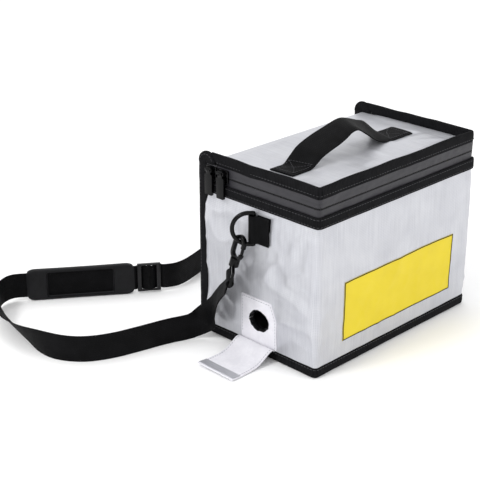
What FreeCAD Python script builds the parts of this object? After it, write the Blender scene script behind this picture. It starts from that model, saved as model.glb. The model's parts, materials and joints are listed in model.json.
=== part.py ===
"""Soft storage and charging bag for lithium battery packs, as an assembly of separate solids.

Millimetres, +Z up, +X along the front wall, +Y towards the back. The origin is on the ground,
under the middle of the bag body. The front wall is the one with the plain label. The left wall
(-X) has the cable vent, one carrying ring and the parked zip sliders.
"""
import FreeCAD, Part
import math
import os

from FreeCAD import Placement, Rotation, Vector

# ---------------------------------------------------------------- driving dimensions
# bag body
width = 215.0              # outer faces of the side walls
depth = 132.0              # outer faces of the front and back walls
lid_face = 164.5           # upper face of the lid above the ground
fabric = 1.0               # coated glass-fibre outer fabric
board = 1.6                # stiffening board inside the walls and lid
floor_board_thick = 2.5
lining = 0.6               # inner glass-fibre lining
seam_leg = 10.5            # how far a bound seam stands off the panels
seam_gap = 0.3             # clearance of moving soft parts
# closure
zip_band = 15.5            # from the rim's binding up to the lid face
rim_band = 10.5
rim_thick = 1.4
tape_thick = 0.8
coil_drop = 8.5            # zip line below the lid face
coil_wide = 1.9
coil_thick = 1.5
coil_gap = 1.6             # slit between the two coils, where the slider's post runs
corner_gap = 1.8           # from the rounded corner seams to the lid's side seams
lid_gap = 0.4              # lid over the back wall, at the fold
# zip sliders
slider_length = 12.0
slider_low = 4.5           # slider plate below the zip line
slider_high = 7.5          # slider plate above the zip line
slider_thick = 1.4
slider_gap = 0.4
rear_slider_inset = 7.5    # middle of the rear slider from the back wall
slider_pitch = 14.5        # between the two parked sliders
pull_length = 23.5
pull_width = 9.0
pull_neck = 5.4
pull_thick = 2.4
pull_pin_r = 0.8
pull_hole_r = 1.1
pull_eye_r = 2.2
pull_pin_rise = 5.0        # pin above the zip line
pull_pin_out = 2.7         # pin off the slider plate
# label, vent and flap
label_low = 25.0
label_wide = 154.0
label_tall = 56.0
label_shift = 3.0          # its middle, right of the bag's
label_thick = 0.3
patch_front = -21.0
patch_back = 22.0
patch_top = 54.0
patch_thick = 1.0
patch_cut_y = 7.0
patch_cut_z = 16.0
vent_y = 0.0
vent_z = 33.0
vent_wide = 23.0
vent_high = 19.0
flap_front = -19.0
flap_back = 23.5
flap_length = 47.5
flap_thick = 1.6
flap_rise = 0.5            # flap's fold above the floor seam
# ring, tab, hook and swivel eye
webbing_wide = 25.0
webbing_thick = 1.4
tab_front = -13.0
ring_y = 5.0
ring_drop = 44.0           # middle of the ring below the lid face
ring_wire_r = 1.6
ring_inner = 25.6
ring_side = 4.0
ring_yaw = 135.0           # direction of the ring's plane from +X, in degrees
ring_bore_gap = 0.3
tab_wrap = 1.2             # wall of the webbing sleeve round the ring's bar
hook_at = 60.0             # where the hook hangs on the ring's curve, degrees below its middle
hook_tilt = 15.0           # hook's lean from the vertical, in the ring's plane
hook_twist = 38.0          # hook's plane about its own length
hook_inner_r = 4.5
hook_wall = 2.4
hook_thick = 3.0
hook_straight = 9.0
hook_seat = 0.9            # ring wire above the middle of the hook's top curve
gate_top = 3.3
gate_gap = 0.3
barrel_r = 4.0
barrel_length = 7.0
stem_r = 1.6
stem_gap = 0.05
stem_length = 6.0
eye_bar = 2.6
eye_inner_wide = 26.0
eye_inner_high = 8.0
# handle on the lid
handle_wide = 26.0
handle_thick = 1.8
handle_line = [            # along X, and how high the webbing stands off the lid
    (-84, 0), (-60, 0), (-48, 10), (-12, 22), (8, 24), (37, 13), (56, 0), (84, 0),
]
# shoulder strap: a round run with the same section area as the 25 by 1.5 mm webbing
strap_d = 7.0
strap_ground = 12.5        # webbing stands on its edge, so its middle is half its width up
pad_middle = 16.0          # the pad stands on its edge too
pad_high = 32.0
pad_long = 104.5
pad_thick = 7.0
link_long = 3.0            # webbing that shows between the pad and the slide
adjuster_long = 23.0
strap_tail = 13.0          # straight webbing where it leaves the slide
adjuster_high = 29.0
adjuster_thick = 3.6
adjuster_bar = 4.0

# ---------------------------------------------------------------- derived places
half_w = width / 2
half_d = depth / 2
wall = fabric + board + lining
flap_hinge_z = seam_leg + flap_rise
corner_clear = seam_leg + corner_gap
rim_low = lid_face - zip_band - rim_band
coil_height = lid_face - coil_drop
ring_z = lid_face - ring_drop
rear_slider_y = half_d - rear_slider_inset
front_slider_y = rear_slider_y - slider_pitch
tape_low = rim_low + rim_band / 2
board_top = rim_low + rim_band - 1.5
side_in = half_w - wall
lid_low = lid_face - wall
lid_half = side_in - seam_gap
seam_rear = half_d - corner_clear
coil_low_top = coil_height - coil_gap / 2
coil_high_low = coil_height + coil_gap / 2
ring_radius = ring_inner / 2 + ring_wire_r
ring_bar_x = -half_w - ring_wire_r - ring_bore_gap - tab_wrap - 0.5
flap_hinge_x = -half_w - patch_thick - seam_gap - flap_thick / 2
flap_drop = math.degrees(math.asin((flap_hinge_z - flap_thick * 0.7) / flap_length))
post_half = coil_gap / 2 - seam_gap

# Shoulder strap, hand-placed points along its middle. It leaves the left hook, drops to the
# ground, runs out in a loop that stands on edge, and passes behind the bag to the right hook.
strap_drop = [
    (-128.2, 21.0, 67.2),
    (-127.2, 29.0, 57.0),
    (-123.5, 40.0, 43.5),
    (-120.5, 49.5, 27.5),
    (-123.0, 59.0, 16.5),
]
strap_loop = [
    (-134.0, 66.0, strap_ground),
    (-151.0, 73.0, strap_ground),
    (-177.0, 79.0, strap_ground),
    (-206.0, 86.5, strap_ground),
    (-229.0, 99.5, strap_ground),
    (-243.0, 121.0, strap_ground),
    (-247.0, 148.0, strap_ground),
    (-243.5, 175.0, strap_ground),
    (-238.0, 196.0, strap_ground),
    (-232.5, 214.0, strap_ground),
    (-226.0, 231.0, 13.0),
    (-214.5, 244.0, 14.5),
    (-199.5, 246.5, pad_middle),
    (-187.0, 237.5, pad_middle),
]
strap_back = [
    (-53.0, 156.5, 14.0),
    (-25.0, 166.0, strap_ground),
    (4.0, 176.5, strap_ground),
    (38.0, 178.5, strap_ground),
    (70.0, 170.0, strap_ground),
    (97.0, 152.0, strap_ground),
    (115.5, 127.0, strap_ground),
    (124.0, 99.0, strap_ground),
    (125.0, 78.0, 13.0),
]


# ---------------------------------------------------------------- small tools
def box(low, high):
    """Box between two opposite corners."""
    size = [b - a for a, b in zip(low, high)]
    return Part.makeBox(size[0], size[1], size[2], Vector(*low))


def cylinder(radius, height, base, axis):
    """Cylinder from a base point along an axis."""
    return Part.makeCylinder(radius, height, Vector(*base), Vector(*axis))


def prism(points, along):
    """Solid of a closed outline of 3-D points, moved along a vector."""
    corners = [Vector(*p) for p in points]
    outline = Part.makePolygon(corners + corners[:1])
    return Part.Face(outline).extrude(Vector(*along))


def fuse(first, *others):
    """One clean solid from touching or overlapping pieces."""
    return first.fuse(list(others)).removeSplitter()


def mirrored(shape):
    """The same piece on the right-hand side."""
    return shape.mirror(Vector(0, 0, 0), Vector(1, 0, 0))


def placed(shape, origin, x_axis, z_axis):
    """A piece modelled at the origin, moved to a place with its own X and Z directions."""
    y_axis = z_axis.cross(x_axis)
    turn = Rotation(x_axis, y_axis, z_axis, "ZXY")
    moved = shape.copy()
    moved.Placement = Placement(origin, turn)
    return moved


def three_sided(outer, thick, low, high, rear):
    """Band along the left, front and right walls: outer is its distance outside the walls."""
    out_x = half_w + outer
    out_y = half_d + outer
    shell = box((-out_x, -out_y, low), (out_x, rear, high))
    inside = box((-out_x + thick, -out_y + thick, low), (out_x - thick, rear, high))
    return shell.cut(inside)


def arc_points(before, corner, after):
    """Start, middle and end of the arc that rounds a corner of a route, and its radius."""
    back = before - corner
    ahead = after - corner
    setback = 0.45 * min(back.Length, ahead.Length)
    back.normalize()
    ahead.normalize()
    turn = math.pi - back.getAngle(ahead)
    radius = setback / math.tan(turn / 2)
    inward = back + ahead
    inward.normalize()
    centre = corner + inward * math.hypot(radius, setback)
    return corner + back * setback, centre - inward * radius, corner + ahead * setback, radius


def rounded_path(route):
    """Wire of straight stretches joined by tangent arcs, and the arcs' radii."""
    edges = []
    radii = []
    here = route[0]
    for before, corner, after in zip(route, route[1:], route[2:]):
        start, middle, end, bend = arc_points(before, corner, after)
        edges.append(Part.LineSegment(here, start).toShape())
        edges.append(Part.Arc(start, middle, end).toShape())
        radii.append(round(bend, 1))
        here = end
    edges.append(Part.LineSegment(here, route[-1]).toShape())
    return Part.Wire(edges), radii


def tube(name, points, radius):
    """Round run along a route of points, which prints its arc radii."""
    route = [Vector(*p) for p in points]
    path, radii = rounded_path(route)
    heading = route[1] - route[0]
    section = Part.Wire(Part.makeCircle(radius, route[0], heading))
    solid = path.makePipeShell([section], True, False)
    ideal = math.pi * radius**2 * path.Length
    print(name, "radii", radii, "length", round(path.Length, 1), "volume ratio", solid.Volume / ideal)
    return solid


# ---------------------------------------------------------------- bag body
def floor_binding():
    """Bound seam round the floor: the ring that the bag stands on."""
    outer = box((-half_w, -half_d, 0), (half_w, half_d, seam_leg))
    inner = box((-side_in, -half_d + wall, 0), (side_in, half_d - wall, seam_leg))
    return outer.cut(inner)


def floor_sheet(low, thick):
    """One flat layer of the floor, inside the floor seam."""
    return box((-side_in, -half_d + wall, low), (side_in, half_d - wall, low + thick))


def vent_hole(low_x, high_x):
    """Oval cutter for the cable vent."""
    round_hole = cylinder(vent_wide / 2, high_x - low_x, (low_x, 0, 0), (1, 0, 0))
    squeeze = FreeCAD.Matrix()
    squeeze.A33 = vent_high / vent_wide
    oval = round_hole.transformGeometry(squeeze)
    oval.translate(Vector(0, vent_y, vent_z))
    return oval


def front_panel():
    """Outer fabric of the front wall."""
    return box((-half_w, -half_d, seam_leg), (half_w, -half_d + fabric, tape_low))


def side_panel():
    """Outer fabric of a side wall, on the left."""
    return box((-half_w, -half_d + fabric, seam_leg), (-half_w + fabric, half_d, tape_low))


def back_panel():
    """Outer fabric of the back wall, up to the fold that the lid turns on."""
    inner = half_w - fabric
    return box((-inner, half_d - fabric, seam_leg), (inner, half_d, lid_low - lid_gap))


def front_board(inner_face, outer_face, top):
    """Stiffener that lines the front or the back wall."""
    inner = half_w - fabric
    return box((-inner, inner_face, seam_leg), (inner, outer_face, top))


def side_board():
    """Stiffener that lines a side wall, on the left."""
    inset = fabric + board
    low = (-half_w + fabric, -half_d + inset, seam_leg)
    return box(low, (-half_w + inset, half_d - inset, board_top))


def wall_lining():
    """Inner lining of the four walls, open at the top and the floor."""
    inset = fabric + board
    low = (-half_w + inset, -half_d + inset, seam_leg)
    outer = box(low, (half_w - inset, half_d - inset, board_top))
    inner = box((-side_in, -half_d + wall, seam_leg), (side_in, half_d - wall, board_top))
    return outer.cut(inner).cut(vent_hole(-half_w, -half_w + 2 * wall))


def vent_patch():
    """Hook-and-loop patch round the vent, with one corner cut off."""
    x = -half_w - patch_thick
    outline = [
        (x, patch_front, seam_leg),
        (x, patch_back, seam_leg),
        (x, patch_back, patch_top),
        (x, patch_front + patch_cut_y, patch_top),
        (x, patch_front, patch_top - patch_cut_z),
    ]
    return prism(outline, (patch_thick, 0, 0)).cut(vent_hole(x - 1, -half_w + 1))


def label_panel():
    """Plain label on the front wall."""
    left = label_shift - label_wide / 2
    low = (left, -half_d - label_thick, label_low)
    return box(low, (left + label_wide, -half_d, label_low + label_tall))


def back_binding():
    """Bound seam down a back corner, rounded over the end of the lid's hinge line, on the left."""
    strip = box((-half_w, half_d, 0), (-side_in, half_d + seam_leg, lid_face))
    disc = cylinder(seam_leg, wall, (-half_w, half_d, lid_face), (1, 0, 0))
    below = box((-half_w, half_d - seam_leg, 0), (-side_in, half_d, lid_face))
    return fuse(strip, disc).cut(below)


def zip_end():
    """Tape that closes the corner behind the zip's last stretch, with the slider's slit."""
    tape = box((-half_w, seam_rear, tape_low), (-half_w + tape_thick, half_d, lid_face))
    slit_end = rear_slider_y + slider_length / 2
    low = (-half_w, seam_rear, coil_low_top)
    slit = box(low, (-half_w + tape_thick, slit_end, coil_high_low))
    return tape.cut(slit)


def ring_tab():
    """Folded webbing tab with the sleeve that holds the ring's bar, on the left."""
    low = (-half_w - 2 * webbing_thick, tab_front, ring_z - webbing_wide / 2)
    plate = box(low, (-half_w, ring_y, ring_z + webbing_wide / 2))
    sleeve_r = ring_wire_r + ring_bore_gap + tab_wrap
    base = (ring_bar_x, ring_y, ring_z - webbing_wide / 2)
    sleeve = cylinder(sleeve_r, webbing_wide, base, (0, 0, 1))
    bore = cylinder(ring_wire_r + ring_bore_gap, webbing_wide, base, (0, 0, 1))
    return fuse(plate, sleeve).cut(bore)


# ---------------------------------------------------------------- lid
def lid_sheet(low, thick):
    """One flat layer of the lid, between its side seams."""
    rear = half_d - seam_gap
    return box((-lid_half, -half_d + wall + seam_gap, low), (lid_half, rear, low + thick))


def lid_panel():
    """Outer fabric of the lid, turned down into its seam on three sides."""
    sheet = lid_sheet(lid_face - fabric, fabric)
    front = box((-lid_half, -half_d + wall, lid_face - fabric), (lid_half, -half_d + wall + seam_gap, lid_face))
    left = box((-side_in, -half_d + wall, lid_face - fabric), (-lid_half, seam_rear, lid_face))
    return fuse(sheet, front, left, mirrored(left))


def lid_binding():
    """Bound seam that stands up round three sides of the lid."""
    return three_sided(0, wall, lid_face, lid_face + seam_leg, seam_rear).fuse(
        three_sided(0, wall, lid_face - fabric, lid_face, seam_rear)
    ).removeSplitter()


def handle():
    """Webbing handle: two flat ends sewn to the lid and a raised grip between them."""
    flat = lid_face + handle_thick / 2
    spine, _ = rounded_path([Vector(x, 0, flat + rise) for x, rise in handle_line])
    start = handle_line[0][0]
    low = Vector(start, -handle_wide / 2, lid_face)
    high = Vector(start, -handle_wide / 2, lid_face + handle_thick)
    side = Vector(0, handle_wide, 0)
    section = Part.makePolygon([low, high, high + side, low + side, low])
    return spine.makePipeShell([section], True, False)


# ---------------------------------------------------------------- zip
def zip_coil(low):
    """Coil along the inner face of a zip tape, at a height."""
    return three_sided(-tape_thick, coil_thick, low, low + coil_wide, seam_rear)


def slider(middle):
    """Slider: outer plate, post through the slit, lower inner plate and the pull's pin."""
    rear = middle + slider_length / 2
    front = middle - slider_length / 2
    outer = -half_w - slider_gap
    face = outer - slider_thick
    plate = box((face, front, coil_height - slider_low), (outer, rear, coil_height + slider_high))
    inside = -half_w + tape_thick + coil_thick + seam_gap
    post_y = slider_length / 2 - 2
    post = box(
        (outer, middle - post_y, coil_height - post_half),
        (inside, middle + post_y, coil_height + post_half),
    )
    low = (inside, middle - post_y, coil_height - slider_low)
    inner = box(low, (inside + 1, middle + post_y, coil_height + post_half))
    pin_x = face - pull_pin_out
    pin_z = coil_height + pull_pin_rise
    lug_y = pull_neck / 2 + seam_gap
    pieces = [post, inner]
    pieces.append(cylinder(pull_pin_r, 2 * lug_y, (pin_x, middle - lug_y, pin_z), (0, 1, 0)))
    for low_y in (middle - lug_y - 1.2, middle + lug_y):
        lug = box((pin_x - 1.3, low_y, pin_z - 1.5), (face, low_y + 1.2, pin_z + 1.5))
        pieces.append(lug)
    return fuse(plate, *pieces)


def zip_pull(middle):
    """Long plain pull that hangs from a slider's pin."""
    pin_x = -half_w - slider_gap - slider_thick - pull_pin_out
    pin_z = coil_height + pull_pin_rise
    neck = pull_neck / 2
    eye = cylinder(pull_eye_r, pull_neck, (pin_x, middle - neck, pin_z), (0, 1, 0))
    half = pull_thick / 2
    stem = box((pin_x - half, middle - neck, pin_z - 5), (pin_x + half, middle + neck, pin_z))
    low = (pin_x - half, middle - pull_width / 2, pin_z - pull_length)
    blade = box(low, (pin_x + half, middle + pull_width / 2, pin_z - 4))
    corners = [e for e in blade.Edges if abs(e.Vertexes[0].Point.x - e.Vertexes[1].Point.x) > half]
    blade = blade.makeFillet(1.2, corners)
    hole = cylinder(pull_hole_r, pull_neck, (pin_x, middle - neck, pin_z), (0, 1, 0))
    return fuse(eye, stem, blade).cut(hole)


# ---------------------------------------------------------------- vent flap
def vent_flap():
    """Flap that lies open on the ground and folds up over the vent."""
    half = flap_thick / 2
    tip = -flap_length + half
    blade = box((tip, 0, -half), (0, flap_back - flap_front, half))
    root = cylinder(half, flap_back - flap_front, (0, 0, 0), (0, 1, 0))
    flap = fuse(blade, root)
    flap.rotate(Vector(0, 0, 0), Vector(0, 1, 0), -flap_drop)
    flap.translate(Vector(flap_hinge_x, flap_front, flap_hinge_z))
    return flap


# ---------------------------------------------------------------- carrying rings and hooks
def ring_frame():
    """Outward direction of the left ring's plane, and that plane's normal."""
    yaw = math.radians(ring_yaw)
    outward = Vector(math.cos(yaw), math.sin(yaw), 0)
    return outward, Vector(0, 0, 1).cross(outward)


def hook_frame():
    """Where the left hook's jaw holds the ring wire, its upward axis, and the sideways one."""
    outward, normal = ring_frame()
    angle = math.radians(hook_at)
    reach = ring_side + ring_radius * math.cos(angle)
    drop = ring_radius * math.sin(angle)
    centre = Vector(ring_bar_x, ring_y, ring_z) + outward * reach - Vector(0, 0, drop)
    tilt = math.radians(hook_tilt)
    upward = Vector(0, 0, math.cos(tilt)) - outward * math.sin(tilt)
    return centre, upward, normal


def d_ring():
    """Wire ring with a straight bar, on the left."""
    side = Vector(ring_side, 0, -ring_radius)
    apex = Vector(ring_side + ring_radius, 0, 0)
    top = Vector(ring_side, 0, ring_radius)
    edges = [Part.LineSegment(Vector(0, 0, -ring_radius), side).toShape()]
    edges.append(Part.Arc(side, apex, top).toShape())
    edges.append(Part.LineSegment(top, Vector(0, 0, ring_radius)).toShape())
    start = Part.makeCircle(ring_wire_r, Vector(0, 0, -ring_radius), Vector(1, 0, 0))
    bow = Part.Wire(edges).makePipeShell([Part.Wire(start)], True, False)
    bar = cylinder(ring_wire_r, 2 * ring_radius, (0, 0, -ring_radius), (0, 0, 1))
    ends = [Part.makeSphere(ring_wire_r, Vector(0, 0, z)) for z in (-ring_radius, ring_radius)]
    ring = fuse(bow, bar, *ends)
    outward, _ = ring_frame()
    return placed(ring, Vector(ring_bar_x, ring_y, ring_z), outward, Vector(0, 0, 1))


def stadium(radius, top, bottom, thick):
    """Flat plate with round ends, in the XZ plane."""
    middle = box((-radius, -thick / 2, bottom), (radius, thick / 2, top))
    ends = [cylinder(radius, thick, (0, -thick / 2, z), (0, 1, 0)) for z in (top, bottom)]
    return fuse(middle, *ends)


def hook_levels():
    """Heights on the hook, below the ring wire: jaw's top curve, its foot, barrel top and end."""
    top = -hook_seat
    foot = top - hook_straight
    barrel_top = foot - hook_inner_r - hook_wall + 1
    return top, foot, barrel_top, barrel_top - barrel_length


def placed_hook(shape, twist):
    """A hook piece put on the left ring, turned about its own length."""
    centre, upward, normal = hook_frame()
    side = upward.cross(normal)
    angle = math.radians(twist)
    across = normal * math.cos(angle) + side * math.sin(angle)
    return placed(shape, centre, across, upward)


def gate_pivot():
    """Middle of the gate's rounded foot, in the hook's own frame."""
    _, foot, _, _ = hook_levels()
    return Vector(hook_inner_r + hook_wall / 2, 0, foot + 1.2)


def hook_body():
    """Snap hook: jaw with a gap for the gate, and the barrel that the eye turns in."""
    top, foot, barrel_top, barrel_end = hook_levels()
    jaw = stadium(hook_inner_r + hook_wall, top, foot, hook_thick)
    jaw = jaw.cut(stadium(hook_inner_r, top, foot, 2 * hook_thick))
    pivot = gate_pivot()
    low = (hook_inner_r - 1, -hook_thick, pivot.z - hook_wall / 2 - gate_gap)
    gap = box(low, (hook_inner_r + hook_wall + 1, hook_thick, top - gate_top + gate_gap))
    barrel = cylinder(barrel_r, barrel_length, (0, 0, barrel_end), (0, 0, 1))
    bore_base = (0, 0, barrel_end)
    bore = cylinder(stem_r + stem_gap, stem_length, bore_base, (0, 0, 1))
    return fuse(jaw.cut(gap), barrel).cut(bore)


def hook_gate():
    """Sprung gate that closes the hook's jaw."""
    top, _, _, _ = hook_levels()
    pivot = gate_pivot()
    half = hook_wall / 2
    thick = hook_thick - 2 * gate_gap
    blade = box((pivot.x - half, -thick / 2, pivot.z), (pivot.x + half, thick / 2, top - gate_top))
    foot = cylinder(half, thick, (pivot.x, -thick / 2, pivot.z), (0, 1, 0))
    return fuse(blade, foot)


def swivel_eye():
    """Rectangular eye on a stem that turns in the hook's barrel."""
    _, _, _, barrel_end = hook_levels()
    stem = cylinder(stem_r, stem_length - 0.3, (0, 0, barrel_end - gate_gap), (0, 0, 1))
    top = barrel_end - gate_gap
    outer_wide = eye_inner_wide + 2 * eye_bar
    outer_high = eye_inner_high + 2 * eye_bar
    half = eye_bar / 2
    frame = box((-outer_wide / 2, -half, top - outer_high), (outer_wide / 2, half, top))
    hole = box(
        (-eye_inner_wide / 2, -eye_bar, top - eye_bar - eye_inner_high),
        (eye_inner_wide / 2, eye_bar, top - eye_bar),
    )
    return fuse(frame.cut(hole), stem)


def strap_end():
    """Webbing end folded round the swivel eye's lower bar and sewn to itself."""
    _, _, _, barrel_end = hook_levels()
    bar_z = barrel_end - gate_gap - eye_bar * 1.5 - eye_inner_high
    reach = math.hypot(eye_bar / 2, eye_bar / 2) + seam_gap
    half = webbing_wide / 2
    sleeve = cylinder(reach + webbing_thick, webbing_wide, (-half, 0, bar_z), (1, 0, 0))
    bore = cylinder(reach, webbing_wide, (-half, 0, bar_z), (1, 0, 0))
    return sleeve.cut(bore)


# ---------------------------------------------------------------- shoulder strap
def strap_line():
    """Where the pad and the slide start and end, in line with the webbing that enters the pad."""
    before = Vector(*strap_loop[-2])
    pad_start = Vector(*strap_loop[-1])
    heading = pad_start - before
    heading.normalize()
    reaches = (0, pad_long, pad_long + link_long, pad_long + link_long + adjuster_long)
    return heading, [pad_start + heading * reach for reach in reaches]


def strap_pad():
    """Moulded shoulder pad that the webbing runs through."""
    half = pad_thick / 2
    block = box((0, -half, -pad_high / 2), (pad_long, half, pad_high / 2))
    ends = [e for e in block.Edges if abs(e.Vertexes[0].Point.y - e.Vertexes[1].Point.y) > half]
    heading, places = strap_line()
    return placed(block.makeFillet(pad_high / 5, ends), places[0], heading, Vector(0, 0, 1))


def strap_adjuster():
    """Three-bar slide that sets the strap's length."""
    half = adjuster_thick / 2
    tall = adjuster_high / 2
    frame = box((0, -half, -tall), (adjuster_long, half, tall))
    slot_long = (adjuster_long - 3 * adjuster_bar) / 2
    slot_tall = webbing_wide / 2 + seam_gap
    for low in (adjuster_bar, 2 * adjuster_bar + slot_long):
        frame = frame.cut(box((low, -half, -slot_tall), (low + slot_long, half, slot_tall)))
    heading, places = strap_line()
    return placed(frame, places[2], heading, Vector(0, 0, 1))


def strap_runs():
    """The strap's free runs between hooks, pad and slide."""
    heading, places = strap_line()
    right_drop = [(-x, y, z) for x, y, z in reversed(strap_drop)]
    after = [places[3], places[3] + heading * strap_tail]
    radius = strap_d / 2
    return {
        "strap_left_run": tube("strap_left_run", strap_drop + strap_loop, radius),
        "strap_link": tube("strap_link", places[1:3], radius),
        "strap_right_run": tube("strap_right_run", after + strap_back + right_drop, radius),
    }


# ---------------------------------------------------------------- assembly
def build():
    """Every sub-part by node name."""
    inset = fabric + board
    vent = vent_hole(-half_w - 1, -half_w + 2 * wall)
    parts = {
        "floor_binding": floor_binding(),
        "floor_panel": floor_sheet(0, fabric),
        "floor_board": floor_sheet(fabric, floor_board_thick),
        "floor_lining": floor_sheet(fabric + floor_board_thick, lining),
        "front_panel": front_panel(),
        "left_panel": side_panel().cut(vent),
        "right_panel": mirrored(side_panel()),
        "back_panel": back_panel(),
        "front_board": front_board(-half_d + fabric, -half_d + inset, board_top),
        "left_board": side_board().cut(vent),
        "right_board": mirrored(side_board()),
        "back_board": front_board(half_d - inset, half_d - fabric, lid_low - lid_gap),
        "wall_lining": wall_lining(),
        "vent_patch": vent_patch(),
        "label_panel": label_panel(),
        "rim_binding": three_sided(rim_thick, rim_thick, rim_low, rim_low + rim_band, half_d),
        "lower_zip_tape": three_sided(0, tape_thick, tape_low, coil_low_top, seam_rear),
        "lower_zip_coil": zip_coil(coil_low_top - coil_wide),
        "lid_panel": lid_panel(),
        "lid_board": lid_sheet(lid_face - inset, board),
        "lid_lining": lid_sheet(lid_low, lining),
        "lid_binding": lid_binding(),
        "upper_zip_tape": three_sided(0, tape_thick, coil_high_low, lid_face - fabric, seam_rear),
        "upper_zip_coil": zip_coil(coil_high_low),
        "handle": handle(),
        "zip_slider_front": slider(front_slider_y),
        "zip_slider_rear": slider(rear_slider_y),
        "zip_pull_front": zip_pull(front_slider_y),
        "zip_pull_rear": zip_pull(rear_slider_y),
        "vent_flap": vent_flap(),
        "strap_pad": strap_pad(),
        "strap_adjuster": strap_adjuster(),
    }
    left = {
        "back_binding": back_binding(),
        "zip_end": zip_end(),
        "ring_tab": ring_tab(),
        "carry_ring": d_ring(),
        "snap_hook": placed_hook(hook_body(), hook_twist),
        "hook_gate": placed_hook(hook_gate(), hook_twist),
        "swivel_eye": placed_hook(swivel_eye(), 0),
        "strap_end": placed_hook(strap_end(), 0),
    }
    for name, shape in left.items():
        parts[name + "_left"] = shape
        parts[name + "_right"] = mirrored(shape)
    parts.update(strap_runs())
    return parts


os.makedirs("parts", exist_ok=True)
for node, shape in build().items():
    shape.exportStep(f"parts/{node}.step")
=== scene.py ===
"""Fire-resistant battery storage bag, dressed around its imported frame.

Lengths in the classes are millimetres, and MM turns them to Blender's metres.
"""
import json
import logging
import math
from collections.abc import Callable, Sequence
from dataclasses import dataclass
from enum import Enum

import bmesh
import bpy
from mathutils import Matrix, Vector, noise
from mathutils.geometry import intersect_line_line_2d

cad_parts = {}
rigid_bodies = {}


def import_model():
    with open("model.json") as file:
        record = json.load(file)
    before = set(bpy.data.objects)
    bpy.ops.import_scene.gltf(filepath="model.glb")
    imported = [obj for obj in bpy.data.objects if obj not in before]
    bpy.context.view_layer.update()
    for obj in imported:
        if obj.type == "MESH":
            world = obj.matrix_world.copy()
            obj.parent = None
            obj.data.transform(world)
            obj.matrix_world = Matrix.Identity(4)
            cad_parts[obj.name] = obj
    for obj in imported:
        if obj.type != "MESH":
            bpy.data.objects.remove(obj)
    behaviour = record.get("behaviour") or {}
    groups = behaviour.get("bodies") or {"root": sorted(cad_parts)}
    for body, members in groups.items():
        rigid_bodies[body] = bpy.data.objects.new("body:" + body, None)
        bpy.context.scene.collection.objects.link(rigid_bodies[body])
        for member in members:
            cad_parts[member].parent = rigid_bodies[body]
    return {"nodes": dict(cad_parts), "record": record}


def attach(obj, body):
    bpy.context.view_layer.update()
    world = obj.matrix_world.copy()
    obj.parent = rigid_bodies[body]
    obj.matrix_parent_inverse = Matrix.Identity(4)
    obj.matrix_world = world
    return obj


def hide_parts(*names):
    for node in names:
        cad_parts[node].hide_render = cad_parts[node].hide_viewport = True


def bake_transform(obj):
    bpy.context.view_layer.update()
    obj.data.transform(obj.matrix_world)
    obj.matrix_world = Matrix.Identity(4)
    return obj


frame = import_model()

LOG = logging.getLogger("storage_bag")
MM = 0.001
UP = Vector((0.0, 0.0, 1.0))
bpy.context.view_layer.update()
DIAGONAL = 0.7071
CLOTH_MAP = "cloth"
Station = tuple[Vector, Vector]


# ------------------------------------------------------------------ finishes
class Pattern(Enum):
    """What a surface's fine relief is made of."""

    COATED_CLOTH = "coated cloth"
    GROSGRAIN = "grosgrain"
    TAPE = "zip tape"
    WEBBING = "webbing"
    PILE = "loop pile"
    GRAIN = "moulded grain"
    SATIN = "printed satin"


class Source(Enum):
    """Which coordinates a pattern follows."""

    CLOTH = "along the cloth"
    SOLID = "through the solid"


@dataclass(frozen=True)
class Finish:
    """One material: what it is, how its surface was made, and its values.

    Pitch, spread and relief are millimetres.
    """

    name: str
    base: str
    second_tone: str
    roughness: float
    pattern: Pattern
    pitch: float
    relief: float
    spread: float = 12.0
    mix: float = 0.5
    metallic: float = 0.0
    sheen: float = 0.0
    coat: float = 0.0
    shine: float = 0.5
    ior: float = 1.5
    source: Source = Source.CLOTH


# Aluminium-coated glass cloth, calendered: a pale silver skin whose threads print through.
# The real thread spacing of 0.6 mm would vanish, so it is drawn at 1.5 mm.
SILVER = Finish("aluminised_glass_cloth_calendered", "#CBCCD1", "#A6A7AF", 0.38, Pattern.COATED_CLOTH,
                1.5, 0.06, 26.0, 0.42, metallic=0.5, coat=0.10, ior=1.45)
# Inside of the same cloth, uncoated and duller.
LINING = Finish("glass_cloth_lining_woven", "#A9AAAE", "#8C8D93", 0.62, Pattern.COATED_CLOTH,
                1.6, 0.07, 24.0, metallic=0.12)
# Polyester grosgrain binding, ribbed by its weft: a dull black edge with fine cross ribs.
# The real ribs of 0.9 mm are drawn at 1.7 mm so that they show.
GROSGRAIN = Finish("polyester_grosgrain_woven", "#040405", "#161618", 0.68, Pattern.GROSGRAIN,
                   1.7, 0.24, 9.0, 0.6, shine=0.05)
# Polyester zip tape, warp-knitted and calendered: satin dark grey with lighter lengthwise streaks, partly the
# warp's tone and partly a painted satin highlight.
ZIP_TAPE = Finish("polyester_zip_tape_knitted", "#0D0D0F", "#2D2C31", 0.40, Pattern.TAPE,
                  1.1, 0.08, 16.0, 0.6, shine=0.35)
# Nylon monofilament coil, extruded: small glossy black loops.
COIL = Finish("nylon_coil_extruded", "#050506", "#101012", 0.28, Pattern.GRAIN,
              0.5, 0.01, 6.0, 0.4, shine=0.3, ior=1.53, source=Source.SOLID)
# Polypropylene webbing, woven flat: matt black with a fine herringbone.
WEBBING = Finish("polypropylene_webbing_woven", "#030304", "#0D0D0F", 0.6, Pattern.WEBBING,
                 1.9, 0.18, 14.0, shine=0.08)
# Thread of bonded polyester, twisted: short raised black stitches, coloured dark grey instead of black as a
# painted highlight so that they show.
THREAD = Finish("polyester_thread_twisted", "#1B1B1E", "#333338", 0.45, Pattern.GRAIN,
                0.6, 0.03, 4.0, 0.4, shine=0.4, source=Source.SOLID)
# The same thread in pale grey, for the pale pieces.
PALE_THREAD = Finish("pale_polyester_thread_twisted", "#BDBDC3", "#A5A6AD", 0.5, Pattern.GRAIN,
                     0.6, 0.03, 4.0, 0.4, shine=0.3, source=Source.SOLID)
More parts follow.
